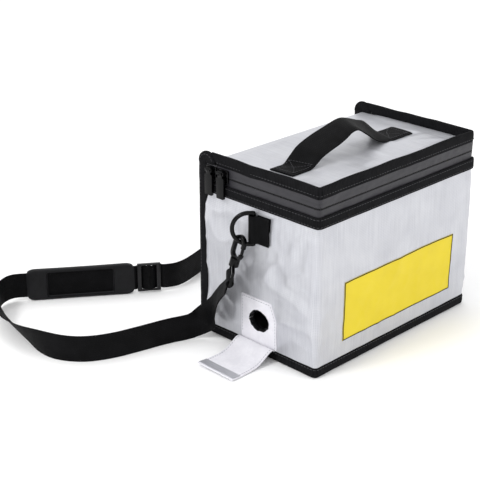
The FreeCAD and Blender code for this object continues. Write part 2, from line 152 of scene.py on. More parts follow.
# Zinc alloy, die-cast and stoved black: glossy with a soft edge highlight.
BLACK_ZINC = Finish("zinc_die_cast_stoved_black", "#020203", "#070708", 0.20, Pattern.GRAIN,
                    0.9, 0.004, 5.0, 0.35, shine=0.16, source=Source.SOLID)
# Acetal, injection moulded: black with a waxy gloss and a very fine spark-eroded grain.
ACETAL = Finish("acetal_injection_moulded", "#09090B", "#18181B", 0.34, Pattern.GRAIN,
                0.7, 0.02, 7.0, 0.4, coat=0.08, shine=0.3, ior=1.48, source=Source.SOLID)
# Thermoplastic rubber, compression moulded: matt charcoal with a leathery grain.
PAD_RUBBER = Finish("thermoplastic_rubber_moulded", "#08080A", "#151518", 0.52, Pattern.GRAIN,
                    1.2, 0.07, 12.0, shine=0.2, source=Source.SOLID)
# Nylon loop tape, brushed: a white nap that scatters light.
LOOP_PILE = Finish("nylon_loop_tape_brushed", "#EDECF1", "#DCDBE1", 0.88, Pattern.PILE,
                   0.9, 0.16, 14.0, sheen=0.25, shine=0.2)
# Satin ribbon, screen printed: an even yellow with a faint weft.
YELLOW_SATIN = Finish("polyester_satin_screen_printed", "#DFC92C", "#D3BC1E", 0.48, Pattern.SATIN,
                      0.9, 0.03, 30.0, 0.4, shine=0.25)
# The printed line round the label, in the same satin.
LABEL_LINE = Finish("satin_border_line_printed", "#1B180C", "#2B2717", 0.52, Pattern.SATIN,
                    0.9, 0.03, 20.0, 0.4, shine=0.2)
# Closed-cell board, die-cut: grey core with a fine open grain on its cut edge.
BOARD = Finish("foam_board_die_cut", "#8F8F8D", "#777775", 0.85, Pattern.GRAIN,
               1.1, 0.05, 9.0, shine=0.2, source=Source.SOLID)
# Studio floor: seamless paper, coated.
PAPER = Finish("seamless_paper_coated", "#FDFDFD", "#FAFAFA", 0.8, Pattern.GRAIN,
               3.0, 0.02, 400.0, 0.3, shine=0.1, source=Source.SOLID)


def linear(code: str) -> tuple[float, float, float, float]:
    """Turn an sRGB hex colour to linear.

    Args:
        code: Colour as "#RRGGBB".

    Returns:
        Red, green, blue and alpha.
    """
    shares = [int(code[i:i + 2], 16) / 255 for i in (1, 3, 5)]
    turned = [s / 12.92 if s <= 0.04045 else ((s + 0.055) / 1.055) ** 2.4 for s in shares]
    return (turned[0], turned[1], turned[2], 1.0)


def add_node(tree: bpy.types.NodeTree, kind: str, settings: dict | None = None,
             values: dict | None = None, links: dict | None = None) -> bpy.types.Node:
    """Add one shader node.

    Args:
        tree: Node tree that takes it.
        kind: Blender's name of the node type.
        settings: Node properties by name.
        values: Socket values by name or number.
        links: Output sockets to link, by input name or number.

    Returns:
        The new node.
    """
    node = tree.nodes.new(kind)
    for key, value in (settings or {}).items():
        setattr(node, key, value)
    for key, value in (values or {}).items():
        node.inputs[key].default_value = value
    for key, output in (links or {}).items():
        tree.links.new(output, node.inputs[key])
    return node


class Dresser:
    """Makes each finish's material once and gives it to pieces."""

    WAVE_TURN = 0.314159

    def __init__(self) -> None:
        """Start with no materials made."""
        self.made: dict[str, bpy.types.Material] = {}

    def material(self, finish: Finish) -> bpy.types.Material:
        """Return the finish's material, made at its first use."""
        if finish.name not in self.made:
            self.made[finish.name] = self.build(finish)
        return self.made[finish.name]

    def wave(self, tree: bpy.types.NodeTree, place: bpy.types.NodeSocket, axis: str,
             period: float, wander: float = 0.0) -> bpy.types.NodeSocket:
        """Return a sine across one axis, with its period in millimetres."""
        node = add_node(tree, "ShaderNodeTexWave", {"bands_direction": axis},
                        {"Scale": self.WAVE_TURN / period, "Distortion": wander, "Detail": 1.0},
                        {"Vector": place})
        return node.outputs["Fac"]

    def speckle(self, tree: bpy.types.NodeTree, place: bpy.types.NodeSocket, size: float,
                detail: float = 2.0) -> bpy.types.NodeSocket:
        """Return noise whose features are about size millimetres."""
        node = add_node(tree, "ShaderNodeTexNoise", None, {"Scale": 1.0 / size, "Detail": detail},
                        {"Vector": place})
        return node.outputs["Fac"]

    def times(self, tree: bpy.types.NodeTree, first: bpy.types.NodeSocket, second: object,
              operation: str = "MULTIPLY") -> bpy.types.NodeSocket:
        """Return two values joined by a maths operation; second is a socket or a number."""
        linked = isinstance(second, bpy.types.NodeSocket)
        links = {0: first, 1: second} if linked else {0: first}
        node = add_node(tree, "ShaderNodeMath", {"operation": operation}, {} if linked else {1: second},
                        links)
        return node.outputs[0]

    def stretched(self, tree: bpy.types.NodeTree, place: bpy.types.NodeSocket,
                  scale: tuple[float, float, float]) -> bpy.types.NodeSocket:
        """Return the coordinates scaled unevenly."""
        node = add_node(tree, "ShaderNodeMapping", None, {"Scale": scale}, {"Vector": place})
        return node.outputs[0]

    def relief(self, tree: bpy.types.NodeTree, place: bpy.types.NodeSocket,
               finish: Finish) -> bpy.types.NodeSocket:
        """Return the height pattern of a finish, from 0 to 1."""
        pitch = finish.pitch
        if finish.pattern is Pattern.GRAIN:
            return self.speckle(tree, place, pitch, 3.0)
        if finish.pattern is Pattern.PILE:
            return self.times(tree, self.speckle(tree, place, pitch, 4.0),
                              self.speckle(tree, place, pitch * 3.1, 2.0), "ADD")
        if finish.pattern is Pattern.GROSGRAIN:
            ribs = self.wave(tree, place, "X", pitch, 0.3)
            return self.times(tree, ribs, self.speckle(tree, place, pitch * 0.8), "ADD")
        if finish.pattern is Pattern.WEBBING:
            across = self.wave(tree, place, "Y", pitch, 0.2)
            slant = self.wave(tree, place, "DIAGONAL", pitch * 0.62, 0.4)
            return self.times(tree, across, slant)
        if finish.pattern is Pattern.TAPE:
            streaks = self.speckle(tree, self.stretched(tree, place, (0.03, 1.0, 1.0)), pitch, 3.0)
            return self.times(tree, streaks, self.wave(tree, place, "X", pitch, 0.2), "ADD")
        warp = self.wave(tree, place, "X", pitch, 0.25)
        return self.times(tree, warp, self.wave(tree, place, "Y", pitch, 0.25))

    def tint(self, tree: bpy.types.NodeTree, place: bpy.types.NodeSocket, finish: Finish,
             height: bpy.types.NodeSocket) -> bpy.types.NodeSocket:
        """Return the share of the second colour, from broad patches, streaks and the relief; on the zip tape
        the lighter streaks are partly a painted satin highlight.
        """
        broad = self.speckle(tree, place, finish.spread, 4.0)
        # On the zip tape these lighter lengthwise streaks are partly the warp's tone and partly a painted
        # satin highlight.
        if finish.pattern in (Pattern.COATED_CLOTH, Pattern.TAPE):
            lengthwise = (0.02, 1.0, 1.0) if finish.pattern is Pattern.TAPE else (1.0, 0.03, 1.0)
            streaks = self.speckle(tree, self.stretched(tree, place, lengthwise), finish.pitch * 0.9, 3.0)
            broad = self.times(tree, self.times(tree, broad, streaks, "ADD"), 0.5)
        both = self.times(tree, self.times(tree, broad, 0.75), self.times(tree, height, 0.25), "ADD")
        spread = add_node(tree, "ShaderNodeMapRange", None, {1: 0.30, 2: 0.70, 3: 0.0, 4: finish.mix * 2},
                          {0: both})
        return spread.outputs[0]

    def build(self, finish: Finish) -> bpy.types.Material:
        """Make one finish's material.

        Args:
            finish: What the surface is.

        Returns:
            The node material.
        """
        material = bpy.data.materials.new(finish.name)
        material.use_nodes = True
        tree = material.node_tree
        tree.nodes.clear()
        if finish.source is Source.CLOTH:
            where = add_node(tree, "ShaderNodeUVMap", {"uv_map": CLOTH_MAP}).outputs[0]
        else:
            where = add_node(tree, "ShaderNodeTexCoord").outputs["Object"]
        place = self.stretched(tree, where, (1 / MM, 1 / MM, 1 / MM))
        height = self.relief(tree, place, finish)
        colour = add_node(tree, "ShaderNodeMix", {"data_type": "RGBA"},
                          {6: linear(finish.base), 7: linear(finish.second_tone)},
                          {0: self.tint(tree, place, finish, height)})
        gloss = add_node(tree, "ShaderNodeMapRange", None,
                         {1: 0.2, 2: 0.8, 3: finish.roughness - 0.06, 4: finish.roughness + 0.06},
                         {0: self.speckle(tree, place, finish.spread * 0.4, 3.0)})
        bump = add_node(tree, "ShaderNodeBump", None, {"Strength": 0.8, "Distance": finish.relief * MM},
                        {"Height": height})
        shader = add_node(tree, "ShaderNodeBsdfPrincipled", None,
                          {"Metallic": finish.metallic, "IOR": finish.ior, "Sheen Weight": finish.sheen,
                           "Sheen Roughness": 0.4, "Specular IOR Level": finish.shine,
                           "Coat Weight": finish.coat, "Coat Roughness": 0.22},
                          {"Base Color": colour.outputs[2], "Roughness": gloss.outputs[0],
                           "Normal": bump.outputs[0]})
        add_node(tree, "ShaderNodeOutputMaterial", None, None, {"Surface": shader.outputs[0]})
        return material

    def give(self, piece: bpy.types.Object, finish: Finish) -> None:
        """Put a finish on a piece, in place of what it has."""
        piece.data.materials.clear()
        piece.data.materials.append(self.material(finish))


DRESS = Dresser()


# ------------------------------------------------------------------ mesh tools
def smooth_step(value: float) -> float:
    """Return 0 to 1, easing at both ends."""
    share = min(max(value, 0.0), 1.0)
    return share * share * (3 - 2 * share)


def ripple(point: Vector, size: float, seed: float) -> float:
    """Return smooth noise from about -1 to 1 at a point, with features of that size."""
    return noise.noise(Vector((point.x / size + seed, point.y / size - seed, point.z / size + 2 * seed)))


def crease(point: Vector, size: float, seed: float) -> float:
    """Return narrow ridges from 0 to 1, as sharp folds in stiff cloth."""
    bent = point + Vector((ripple(point, size * 1.7, seed + 3), ripple(point, size * 1.7, seed + 7),
                           ripple(point, size * 1.7, seed + 11))) * size * 0.7
    return max(0.0, 1.0 - 3.2 * abs(ripple(bent, size, seed))) ** 2


def spread_out(points: Sequence[Vector]) -> list[float]:
    """Return each point's distance along the line from its start."""
    total = [0.0]
    for here, after in zip(points, points[1:]):
        total.append(total[-1] + (after - here).length)
    return total


def resample(stations: Sequence[Station], step: float) -> list[tuple[Vector, Vector, Vector]]:
    """Walk a line of stations at an even step.

    Args:
        stations: Points with their outward directions.
        step: Distance between the places returned.

    Returns:
        Place, outward direction and direction of travel of each step.
    """
    places = []
    ahead = step / 2
    for (here, out), (after, out_after) in zip(stations, stations[1:]):
        run = (after - here).length
        while ahead < run:
            share = ahead / run
            outward = out.lerp(out_after, share).normalized()
            places.append((here.lerp(after, share), outward, (after - here).normalized()))
            ahead += step
        ahead -= run
    return places


def curve_through(points: Sequence[tuple[float, ...]], count: int) -> list[Vector]:
    """Return count points on a smooth curve through the given ones (Catmull-Rom)."""
    knots = [Vector(p) for p in points]
    knots = [knots[0] * 2 - knots[1], *knots, knots[-1] * 2 - knots[-2]]
    spans = len(knots) - 3
    line = []
    for i in range(count):
        at = spans * i / (count - 1)
        k = min(int(at), spans - 1)
        t = at - k
        a, b, c, d = knots[k:k + 4]
        line.append((b * 2 + (c - a) * t + (a * 2 - b * 5 + c * 4 - d) * t ** 2
                     + (b * 3 - a - c * 3 + d) * t ** 3) / 2)
    return line


def finish_mesh(name: str, verts: Sequence[Vector], faces: Sequence[Sequence[int]],
                coords: Sequence[Sequence[tuple[float, float]]] | None, finish: Finish,
                sharp: float = 40.0) -> bpy.types.Object:
    """Make an object from millimetre vertices.

    Args:
        name: Name of the piece.
        verts: Vertices in millimetres.
        faces: Vertex numbers of each face.
        coords: Cloth coordinates of each face's corners, in millimetres, or None.
        finish: Its material.
        sharp: Edges sharper than this many degrees stay crisp.

    Returns:
        The new object, linked to the scene.
    """
    mesh = bpy.data.meshes.new(name)
    mesh.from_pydata([v * MM for v in verts], [], [list(f) for f in faces])
    if coords is not None:
        layer = mesh.uv_layers.new(name=CLOTH_MAP)
        flat = [part * MM for face in coords for corner in face for part in corner]
        layer.data.foreach_set("uv", flat)
    mesh.validate()
    tidy = bmesh.new()
    tidy.from_mesh(mesh)
    bmesh.ops.recalc_face_normals(tidy, faces=tidy.faces)
    tidy.to_mesh(mesh)
    tidy.free()
    mesh.shade_smooth()
    mesh.set_sharp_from_angle(angle=math.radians(sharp))
    piece = bpy.data.objects.new(name, mesh)
    bpy.context.collection.objects.link(piece)
    DRESS.give(piece, finish)
    return piece


def loft(name: str, rows: Sequence[Sequence[Vector]], finish: Finish, ring: bool = True, loop: bool = False,
         caps: bool = True, sharp: float = 40.0) -> bpy.types.Object:
    """Join rows of points into one skin.

    Args:
        name: Name of the piece.
        rows: Rows with the same number of points, one per station.
        finish: Its material.
        ring: Each row closes on itself.
        loop: The last row joins the first.
        caps: Close both ends of a ring that isn't a loop.
        sharp: Edges sharper than this many degrees stay crisp.

    Returns:
        The new object.
    """
    count, wide = len(rows), len(rows[0])
    centres = [sum(row, Vector()) / wide for row in rows]
    middle = rows[count // 2]
    along = spread_out([*centres, centres[0]])
    across = spread_out([*middle, middle[0]])
    verts = [p for row in rows for p in row]
    faces, coords = [], []
    for i in range(count if loop else count - 1):
        for j in range(wide if ring else wide - 1):
            k, m = (i + 1) % count, (j + 1) % wide
            faces.append((i * wide + j, k * wide + j, k * wide + m, i * wide + m))
            coords.append(((along[i], across[j]), (along[i + 1], across[j]),
                           (along[i + 1], across[j + 1]), (along[i], across[j + 1])))
    if ring and caps and not loop:
        half = wide // 2
        for base in (0, (count - 1) * wide):
            for j in range(half - 1):
                quad = (base + j, base + j + 1, base + wide - 2 - j, base + wide - 1 - j)
                faces.append(quad if len(set(quad)) == 4 else tuple(dict.fromkeys(quad)))
                coords.append(((0, 0), (0, 1), (1, 1), (1, 0))[:len(faces[-1])])
    return finish_mesh(name, verts, faces, coords, finish, sharp)


def pillow(thick: float, tall: float, bulge: float = 0.0, steps: int = 3) -> list[tuple[float, float]]:
    """Return the outline of a folded tape: out from the wall and up, rounded, with fuller faces.

    Args:
        thick: Thickness.
        tall: Height.
        bulge: How much fuller the faces are at mid height.
        steps: Points per rounded corner less one.

    Returns:
        Closed outline, an even number of points that mirror across the middle line.
    """
    radius = min(thick, tall) * 0.46
    front = []
    low, high = -tall / 2 + radius, tall / 2 - radius
    for i in range(steps + 1):
        angle = math.radians(-90 + 90 * i / steps)
        front.append((thick / 2 - radius + radius * math.cos(angle), low + radius * math.sin(angle)))
    for share in (0.3, 0.7):
        front.append((thick / 2 + bulge, low + (high - low) * share))
    for i in range(steps + 1):
        angle = math.radians(90 * i / steps)
        front.append((thick / 2 - radius + radius * math.cos(angle), high + radius * math.sin(angle)))
    return front + [(-a, b) for a, b in reversed(front)]


def sweep(name: str, stations: Sequence[Station], outline: Sequence[tuple[float, float]], finish: Finish,
          loop: bool = False, shiver: float = 0.0, seed: float = 0.0) -> bpy.types.Object:
    """Run a tape's outline along a line of stations.

    Args:
        name: Name of the piece.
        stations: Points with their outward directions.
        outline: Closed outline, out and up.
        finish: Its material.
        loop: The line closes on itself.
        shiver: How far the tape wanders in and out and up and down.
        seed: Which wander.

    Returns:
        The new object.
    """
    rows = []
    for point, out in stations:
        shift = out * ripple(point, 22, seed) * shiver + UP * ripple(point, 31, seed + 5) * shiver * 0.5
        swell = 1 + 0.35 * ripple(point, 13, seed + 9) * min(shiver, 1)
        rows.append([point + shift + out * a * swell + UP * b for a, b in outline])
    return loft(name, rows, finish, loop=loop)


def cloth(name: str, rows: Sequence[Sequence[Vector]], out: Callable[[Vector], Vector] | Vector, thick: float,
          finish: Finish, loop: bool = False) -> bpy.types.Object:
    """Make a sheet with thickness behind its outer face.

    Args:
        name: Name of the piece.
        rows: Points on the outer face.
        out: Outward direction, or what gives it at a point.
        thick: Thickness.
        finish: Its material.
        loop: The last row joins the first.

    Returns:
        The new object.
    """
    def behind(point: Vector) -> Vector:
        """Return the inner face's point behind an outer one."""
        outward = out if isinstance(out, Vector) else out(point)
        return point - outward * thick
    return loft(name, [[*row, *(behind(p) for p in reversed(row))] for row in rows], finish, loop=loop)


def beads(name: str, spots: Sequence[tuple[Vector, Vector, Vector]], size: tuple[float, float, float],
          finish: Finish) -> bpy.types.Object:
    """Make many small long beads as one piece: stitches or coil loops.

    Args:
        name: Name of the piece.
        spots: Middle, long direction and outward direction of each.
        size: Length, width and height.
        finish: Its material.

    Returns:
        The new object.
    """
    verts, faces = [], []
    rings = ((-0.5, 0.35), (-0.32, 0.85), (0.0, 1.0), (0.32, 0.85), (0.5, 0.35))
    sides = 6
    for middle, along, out in spots:
        side = along.cross(out).normalized()
        base = len(verts)
        for at, full in rings:
            for k in range(sides):
                angle = math.tau * k / sides
                verts.append(middle + along * size[0] * at + side * math.cos(angle) * size[1] / 2 * full
                             + out * math.sin(angle) * size[2] / 2 * full)
        for i in range(len(rings) - 1):
            for k in range(sides):
                m = (k + 1) % sides
                faces.append((base + i * sides + k, base + i * sides + m,
                              base + (i + 1) * sides + m, base + (i + 1) * sides + k))
        last = base + (len(rings) - 1) * sides
        faces.append(tuple(base + k for k in reversed(range(sides))))
        faces.append(tuple(last + k for k in range(sides)))
    return finish_mesh(name, verts, faces, None, finish, 70)


def stitching(name: str, stations: Sequence[Station], finish: Finish = THREAD, pitch: float = 3.4,
              length: float = 2.5) -> bpy.types.Object:
    """Make a row of stitches along stations."""
    spots = [(p, t, n) for p, n, t in resample(stations, pitch)]
    return beads(name, spots, (length, 0.8, 0.7), finish)


def applied(piece: bpy.types.Object) -> bpy.types.Object:
    """Apply a piece's modifiers to its mesh."""
    shown = piece.evaluated_get(bpy.context.evaluated_depsgraph_get())
    mesh = bpy.data.meshes.new_from_object(shown)
    piece.modifiers.clear()
    piece.data = mesh
    return piece


def cut_away(piece: bpy.types.Object, cutter: bpy.types.Object) -> None:
    """Cut one piece's shape out of another and drop the cutter."""
    step = piece.modifiers.new("cut", "BOOLEAN")
    step.object, step.operation, step.solver = cutter, "DIFFERENCE", "EXACT"
    applied(piece)
    bpy.data.objects.remove(cutter)


BODY_OF = {node: body for body, nodes in frame["record"]["behaviour"]["bodies"].items() for node in nodes}


def stand_for(piece: bpy.types.Object, *nodes: str) -> bpy.types.Object:
    """Ride a piece on its nodes' body and show it in their place."""
    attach(piece, BODY_OF[nodes[0]])
    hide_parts(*nodes)
    return piece


def softened(node: str, width: float, finish: Finish, fuller: float = 0.0) -> bpy.types.Object:
    """Rebuild a hard node with rounded edges.

    Args:
        node: CAD node that it stands for.
        width: Radius of the rounding.
        finish: Its material.
        fuller: How much paint and flash stand out from the hard shape.

    Returns:
        The new object, riding and replacing.
    """
    work = bmesh.new()
    work.from_mesh(frame["nodes"][node].data)
    bmesh.ops.remove_doubles(work, verts=work.verts, dist=1e-6)
    bmesh.ops.dissolve_limit(work, angle_limit=math.radians(0.6), verts=work.verts, edges=work.edges)
    mesh = bpy.data.meshes.new(f"{node}_made")
    work.to_mesh(mesh)
    work.free()
    piece = bpy.data.objects.new(f"{node}_made", mesh)
    bpy.context.collection.objects.link(piece)
    step = piece.modifiers.new("round", "BEVEL")
    step.width, step.segments, step.limit_method, step.angle_limit = width * MM, 3, "ANGLE", math.radians(32)
    if fuller:
        step = piece.modifiers.new("fuller", "DISPLACE")
        step.strength, step.mid_level = fuller * MM, 0.0
    applied(piece)
    piece.data.shade_smooth()
    piece.data.set_sharp_from_angle(angle=math.radians(38))
    DRESS.give(piece, finish)
    return stand_for(piece, node)


# ------------------------------------------------------------------ the bag's walls
class Wall(Enum):
    """A wall by its outward direction."""

    FRONT = (0.0, -1.0)
    LEFT = (-1.0, 0.0)


@dataclass
class Body:
    """Outer shell, floor, linings, label and vent patch.

    Half sizes run to the outer face of the cloth.
    """

    half_wide: float = 107.5
    half_deep: float = 66.0
    seam: float = 10.5
    rim: float = 138.5
    top: float = 147.0
    corner: float = 3.5
    inside: float = 3.2
    vent: tuple[float, float] = (0.0, 33.0)
    vent_size: tuple[float, float] = (23.0, 19.0)
    patch: tuple[float, float, float, float] = (-21.0, 22.0, 10.5, 54.0)
    patch_cut: tuple[float, float] = (7.0, 16.0)
    label: tuple[float, float, float, float] = (-74.0, 80.0, 25.0, 81.0)

    def line(self, outer: float, height: float, rear: float | None = None,
             step: float = 2.4) -> list[Station]:
        """Walk round the walls.

        Args:
            outer: Distance outside the walls.
            height: Height of the line.
            rear: Where both ends stop on the side walls, or None for a closed line.
            step: Largest distance between stations.

        Returns:
            Stations from the left rear by the front to the right rear, then the back if closed.
        """
        x, y = self.half_wide + outer, self.half_deep + outer
        radius = max(self.corner + outer, 0.6)
        back = y - radius if rear is None else rear
        marks = [(Vector((-x, back, height)), Vector((-x, -y + radius, height)), 180),
                 (Vector((-x + radius, -y, height)), Vector((x - radius, -y, height)), 270),
                 (Vector((x, -y + radius, height)), Vector((x, back, height)), 0)]
        if rear is None:
            marks.append((Vector((x - radius, y, height)), Vector((-x + radius, y, height)), 90))
        stations: list[Station] = []
        for number, (start, end, heading) in enumerate(marks):
            out = Vector((math.cos(math.radians(heading)), math.sin(math.radians(heading)), 0))
            count = max(2, int((end - start).length / step))
            stations += [(start.lerp(end, i / count), out) for i in range(count + 1)]
            if rear is not None and number == 2:
                break
            centre = end - out * radius
            for turn in (22.5, 45, 67.5):
                angle = math.radians(heading + turn)
                spoke = Vector((math.cos(angle), math.sin(angle), 0))
                stations.append((centre + spoke * radius, spoke))
        return stations

    def swell(self, point: Vector) -> float:
        """Return how far the cloth stands out from its board at a point on the wall."""
        room = smooth_step((point.z - self.seam) / 16) * smooth_step((self.rim - point.z) / 14)
        belly = 0.9 + 0.7 * math.sin(math.pi * (point.z - self.seam) / (self.rim - self.seam))
        side = smooth_step((12 - point.x - self.half_wide) / 12)
        flat = smooth_step((12 - point.y - self.half_deep) / 12)
        calm = side * smooth_step((31 - abs(point.y - 2)) / 12) * smooth_step((72 - point.z) / 14)
        soft = (0.95 + 0.5 * side) * ripple(point, 52, 1.7) + 0.45 * ripple(point, 21, 4.1)
        folds = (0.8 + 0.9 * side - 0.3 * flat) * crease(point, 46, 8.3)
        folds += (0.35 + 0.45 * side - 0.1 * flat) * crease(point, 23, 2.9)
        low_corner = 1.1 * crease(point, 13, 5.2) * smooth_step((44 - point.z) / 34) * smooth_step(
            1 - abs(abs(point.x) - self.half_wide) / 40) * smooth_step(
                1 - abs(abs(point.y) - self.half_deep) / 40)
        return room * (1 - 0.9 * calm) * max(belly + soft + folds - 0.5 + low_corner, 0.05) + 0.05

    def on_wall(self, wall: Wall, across: float, height: float, lift: float) -> Vector:
        """Return a point on the outer face of a wall, lifted off it.

        Args:
            wall: Which wall.
            across: X on the front wall, Y on the left one.
            height: Z.
            lift: Distance above the cloth.

        Returns:
            The point.
        """
        out = Vector((*wall.value, 0.0))
        if wall is Wall.FRONT:
            flat = Vector((across, -self.half_deep, height))
        else:
            flat = Vector((-self.half_wide, across, height))
        return flat + out * (self.swell(flat) + lift)

    def oval(self, grow: float, rough: float, count: int = 72) -> list[tuple[float, float]]:
        """Return the vent's outline as pairs of Y and Z, grown, with a frayed edge."""
        outline = []
        for i in range(count):
            angle = math.tau * i / count
            fray = rough * ripple(Vector((math.cos(angle) * 9, math.sin(angle) * 9, 0)), 2.3, 6.6)
            outline.append((self.vent[0] + (self.vent_size[0] / 2 + grow + fray) * math.cos(angle),
                            self.vent[1] + (self.vent_size[1] / 2 + grow + fray) * math.sin(angle)))
        return outline

    def to_vent_axis(self, point: Vector) -> Vector:
        """Return the direction away from the vent's middle line at a point."""
        return -Vector((0, point.y - self.vent[0], point.z - self.vent[1])).normalized()

    def vent_cutter(self) -> bpy.types.Object:
        """Return a solid that cuts the vent through the left wall."""
        rows = [[Vector((x, y, z)) for y, z in self.oval(0.3, 0.8)] for x in (-self.half_wide - 4,
                                                                              -self.half_wide + 5)]
        return loft("vent_cutter", rows, LINING)

    def shell(self) -> None:
        """Make the outer cloth of the four walls and the floor."""
        heights = [self.seam - 2 + (self.top - self.seam + 2) * i / 58 for i in range(59)]
        rows = []
        for point, out in self.line(0.0, 0.0):
            column = []
            for height in heights:
                at = Vector((point.x, point.y, height))
                column.append(at + out * self.swell(at))
            rows.append(column)

        def outward(point: Vector) -> Vector:
            """Return the wall's outward direction at a point."""
            gap_x, gap_y = self.half_wide - abs(point.x), self.half_deep - abs(point.y)
            side = Vector((math.copysign(1, point.x), 0, 0)) * smooth_step(1 - gap_x / 3.5)
            end = Vector((0, math.copysign(1, point.y), 0)) * smooth_step(1 - gap_y / 3.5)
            return (side + end).normalized()
        shell = cloth("outer_shell", rows, outward, 0.45, SILVER, loop=True)
        cut_away(shell, self.vent_cutter())
        stand_for(shell, "front_panel", "left_panel", "right_panel", "back_panel")
        inner_x, inner_y = self.half_wide - self.inside, self.half_deep - self.inside
        flat = [[Vector((x, y, 0.25 + 0.35 * abs(ripple(Vector((x, y, 0)), 40, 3))))
                 for y in span(-inner_y, inner_y, 30)] for x in span(-inner_x, inner_x, 46)]
        floor = cloth("floor_cloth", flat, Vector((0, 0, -1)), 0.5, SILVER)
        stand_for(floor, "floor_panel")

    def linings(self) -> None:
        """Make the inner cloth of the walls and the floor, and dress the boards."""
        inset = self.inside - 0.5
        heights = span(self.seam, 147.3, 30)
        rows = []
        for point, out in self.line(-inset, 0.0, step=5):
            rows.append([Vector((point.x, point.y, z)) - out * (0.35 + 0.3 * abs(ripple(
                Vector((point.x, point.y, z)), 34, 9.0))) for z in heights])
        rows = [[*row, *(p + (Vector((p.x, p.y, 0)).normalized() * 0.3) for p in reversed(row))]
                for row in rows]
        walls = loft("wall_lining_cloth", rows, LINING, loop=True)
        cut_away(walls, self.vent_cutter())
        stand_for(walls, "wall_lining")
        x, y = self.half_wide - self.inside - 0.2, self.half_deep - self.inside - 0.2
        grid = [[Vector((a, b, 3.95 + 0.5 * abs(ripple(Vector((a, b, 0)), 38, 5.5)) + 0.3 * crease(
            Vector((a, b, 0)), 40, 1.1))) for b in span(-y, y, 34)] for a in span(-x, x, 52)]
        stand_for(cloth("floor_lining_cloth", grid, UP, 0.4, LINING), "floor_lining")
        for node in ("front_board", "left_board", "right_board", "back_board", "floor_board", "lid_board"):
            DRESS.give(frame["nodes"][node], BOARD)

    def label_panel(self) -> None:
        """Make the plain label with its printed line, sewn flat on the front."""
        left, right, low, high = self.label
        rows = [[self.on_wall(Wall.FRONT, x, z, 0.35) for z in span(low, high, 28)] for x in span(left,
                                                                                                  right, 76)]
        panel = cloth("label_cloth", rows, Vector((0, -1, 0)), 0.25, YELLOW_SATIN)
        stand_for(panel, "label_panel")
        inset, line = 0.15, 0.9
        corners = [(left + inset, low + inset), (right - inset, low + inset),
                   (right - inset, high - inset), (left + inset, high - inset)]
        rows = []
        for (x0, z0), (x1, z1) in zip(corners, corners[1:] + corners[:1]):
            for i in range(78):
                x, z = x0 + (x1 - x0) * i / 78, z0 + (z1 - z0) * i / 78
                xi = min(max(x, left + inset + line), right - inset - line)
                zi = min(max(z, low + inset + line), high - inset - line)
                rows.append([self.on_wall(Wall.FRONT, x, z, 0.62), self.on_wall(Wall.FRONT, xi, zi, 0.62)])
        border = cloth("label_border", rows, Vector((0, -1, 0)), 0.08, LABEL_LINE, loop=True)
        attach(border, "root")

    def vent_patch(self) -> None:
        """Make the pale patch round the vent, with one corner cut off and a frayed hole darkened by a black
        lining of its sides, which is painted shade.
        """
        front, back, low, high = self.patch
        cut_y, cut_z = self.patch_cut
        outline = [(front, low), (back, low), (back, high), (front + cut_y, high), (front, high - cut_z)]
        rows = []
        for y, z in self.oval(0.0, 0.9, 96):
            away = Vector((y - self.vent[0], z - self.vent[1])).normalized() * 90
            far = Vector((self.vent[0] + away.x, self.vent[1] + away.y))
            hit = next((crossed for a, b in zip(outline, outline[1:] + outline[:1])
                        if (crossed := intersect_line_line_2d(Vector(self.vent), far, Vector(a),
                                                              Vector(b)))), far)
            column = []
            for share in (0.0, 0.02, 0.08, 0.2, 0.35, 0.5, 0.65, 0.8, 0.92, 0.98, 1.0):
                at_y, at_z = y + (hit.x - y) * share, z + (hit.y - z) * share
                edge = 0.35 if share in (0.0, 1.0) else 0.9
                column.append(self.on_wall(Wall.LEFT, at_y, at_z, edge))
            rows.append(column)
        patch = cloth("vent_patch_pile", rows, Vector((-1, 0, 0)), 0.5, LOOP_PILE, loop=True)
        stand_for(patch, "vent_patch")
        # Black sheet lining the vent's sides: painted shade, so that the hole reads dark like the shaded
        # inside of the bag.
        deep = [[Vector((-self.half_wide + x, y, z)) for y, z in self.oval(grow, 0.8)]
                for x, grow in ((-1.3, 0.1), (-0.9, -0.5), (1.0, -0.7), (3.6, -0.6), (4.4, 0.2))]
        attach(cloth("vent_throat", deep, self.to_vent_axis, 0.35, GROSGRAIN), "root")
        tuft = []
        for i, (y, z) in enumerate(self.oval(-0.3, 1.6, 64)):
            inward = (Vector((0, self.vent[0] - y, self.vent[1] - z)).normalized() + Vector((
                -0.25, 0.3 * math.sin(i * 2.4), 0.3 * math.cos(i * 1.7)))).normalized()
            tuft.append((self.on_wall(Wall.LEFT, y, z, 0.1), inward, Vector((-1, 0, 0))))
        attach(beads("vent_fray", tuft, (2.4, 0.35, 0.35), THREAD), "root")
        seam = [(front + 1.6, low + 1), (front + 1.6, high - cut_z), (front + cut_y + 0.8, high - 1.8),
                (back - 1.6, high - 1.8), (back - 1.6, low + 1)]
        stations = [(self.on_wall(Wall.LEFT, y0 + (y1 - y0) * i / 8, z0 + (z1 - z0) * i / 8, 0.95),
                     Vector((-1, 0, 0)))
                    for (y0, z0), (y1, z1) in zip(seam, seam[1:]) for i in range(8)]
        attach(stitching("vent_patch_stitches", stations, PALE_THREAD, 3.0, 2.0), "root")

    def build(self) -> None:
        """Build the walls and what is sewn on them."""
        self.shell()
        self.linings()
        self.label_panel()
        self.vent_patch()


def span(low: float, high: float, count: int) -> list[float]:
    """Return count even steps from low to high, both ends included."""
    return [low + (high - low) * i / (count - 1) for i in range(count)]


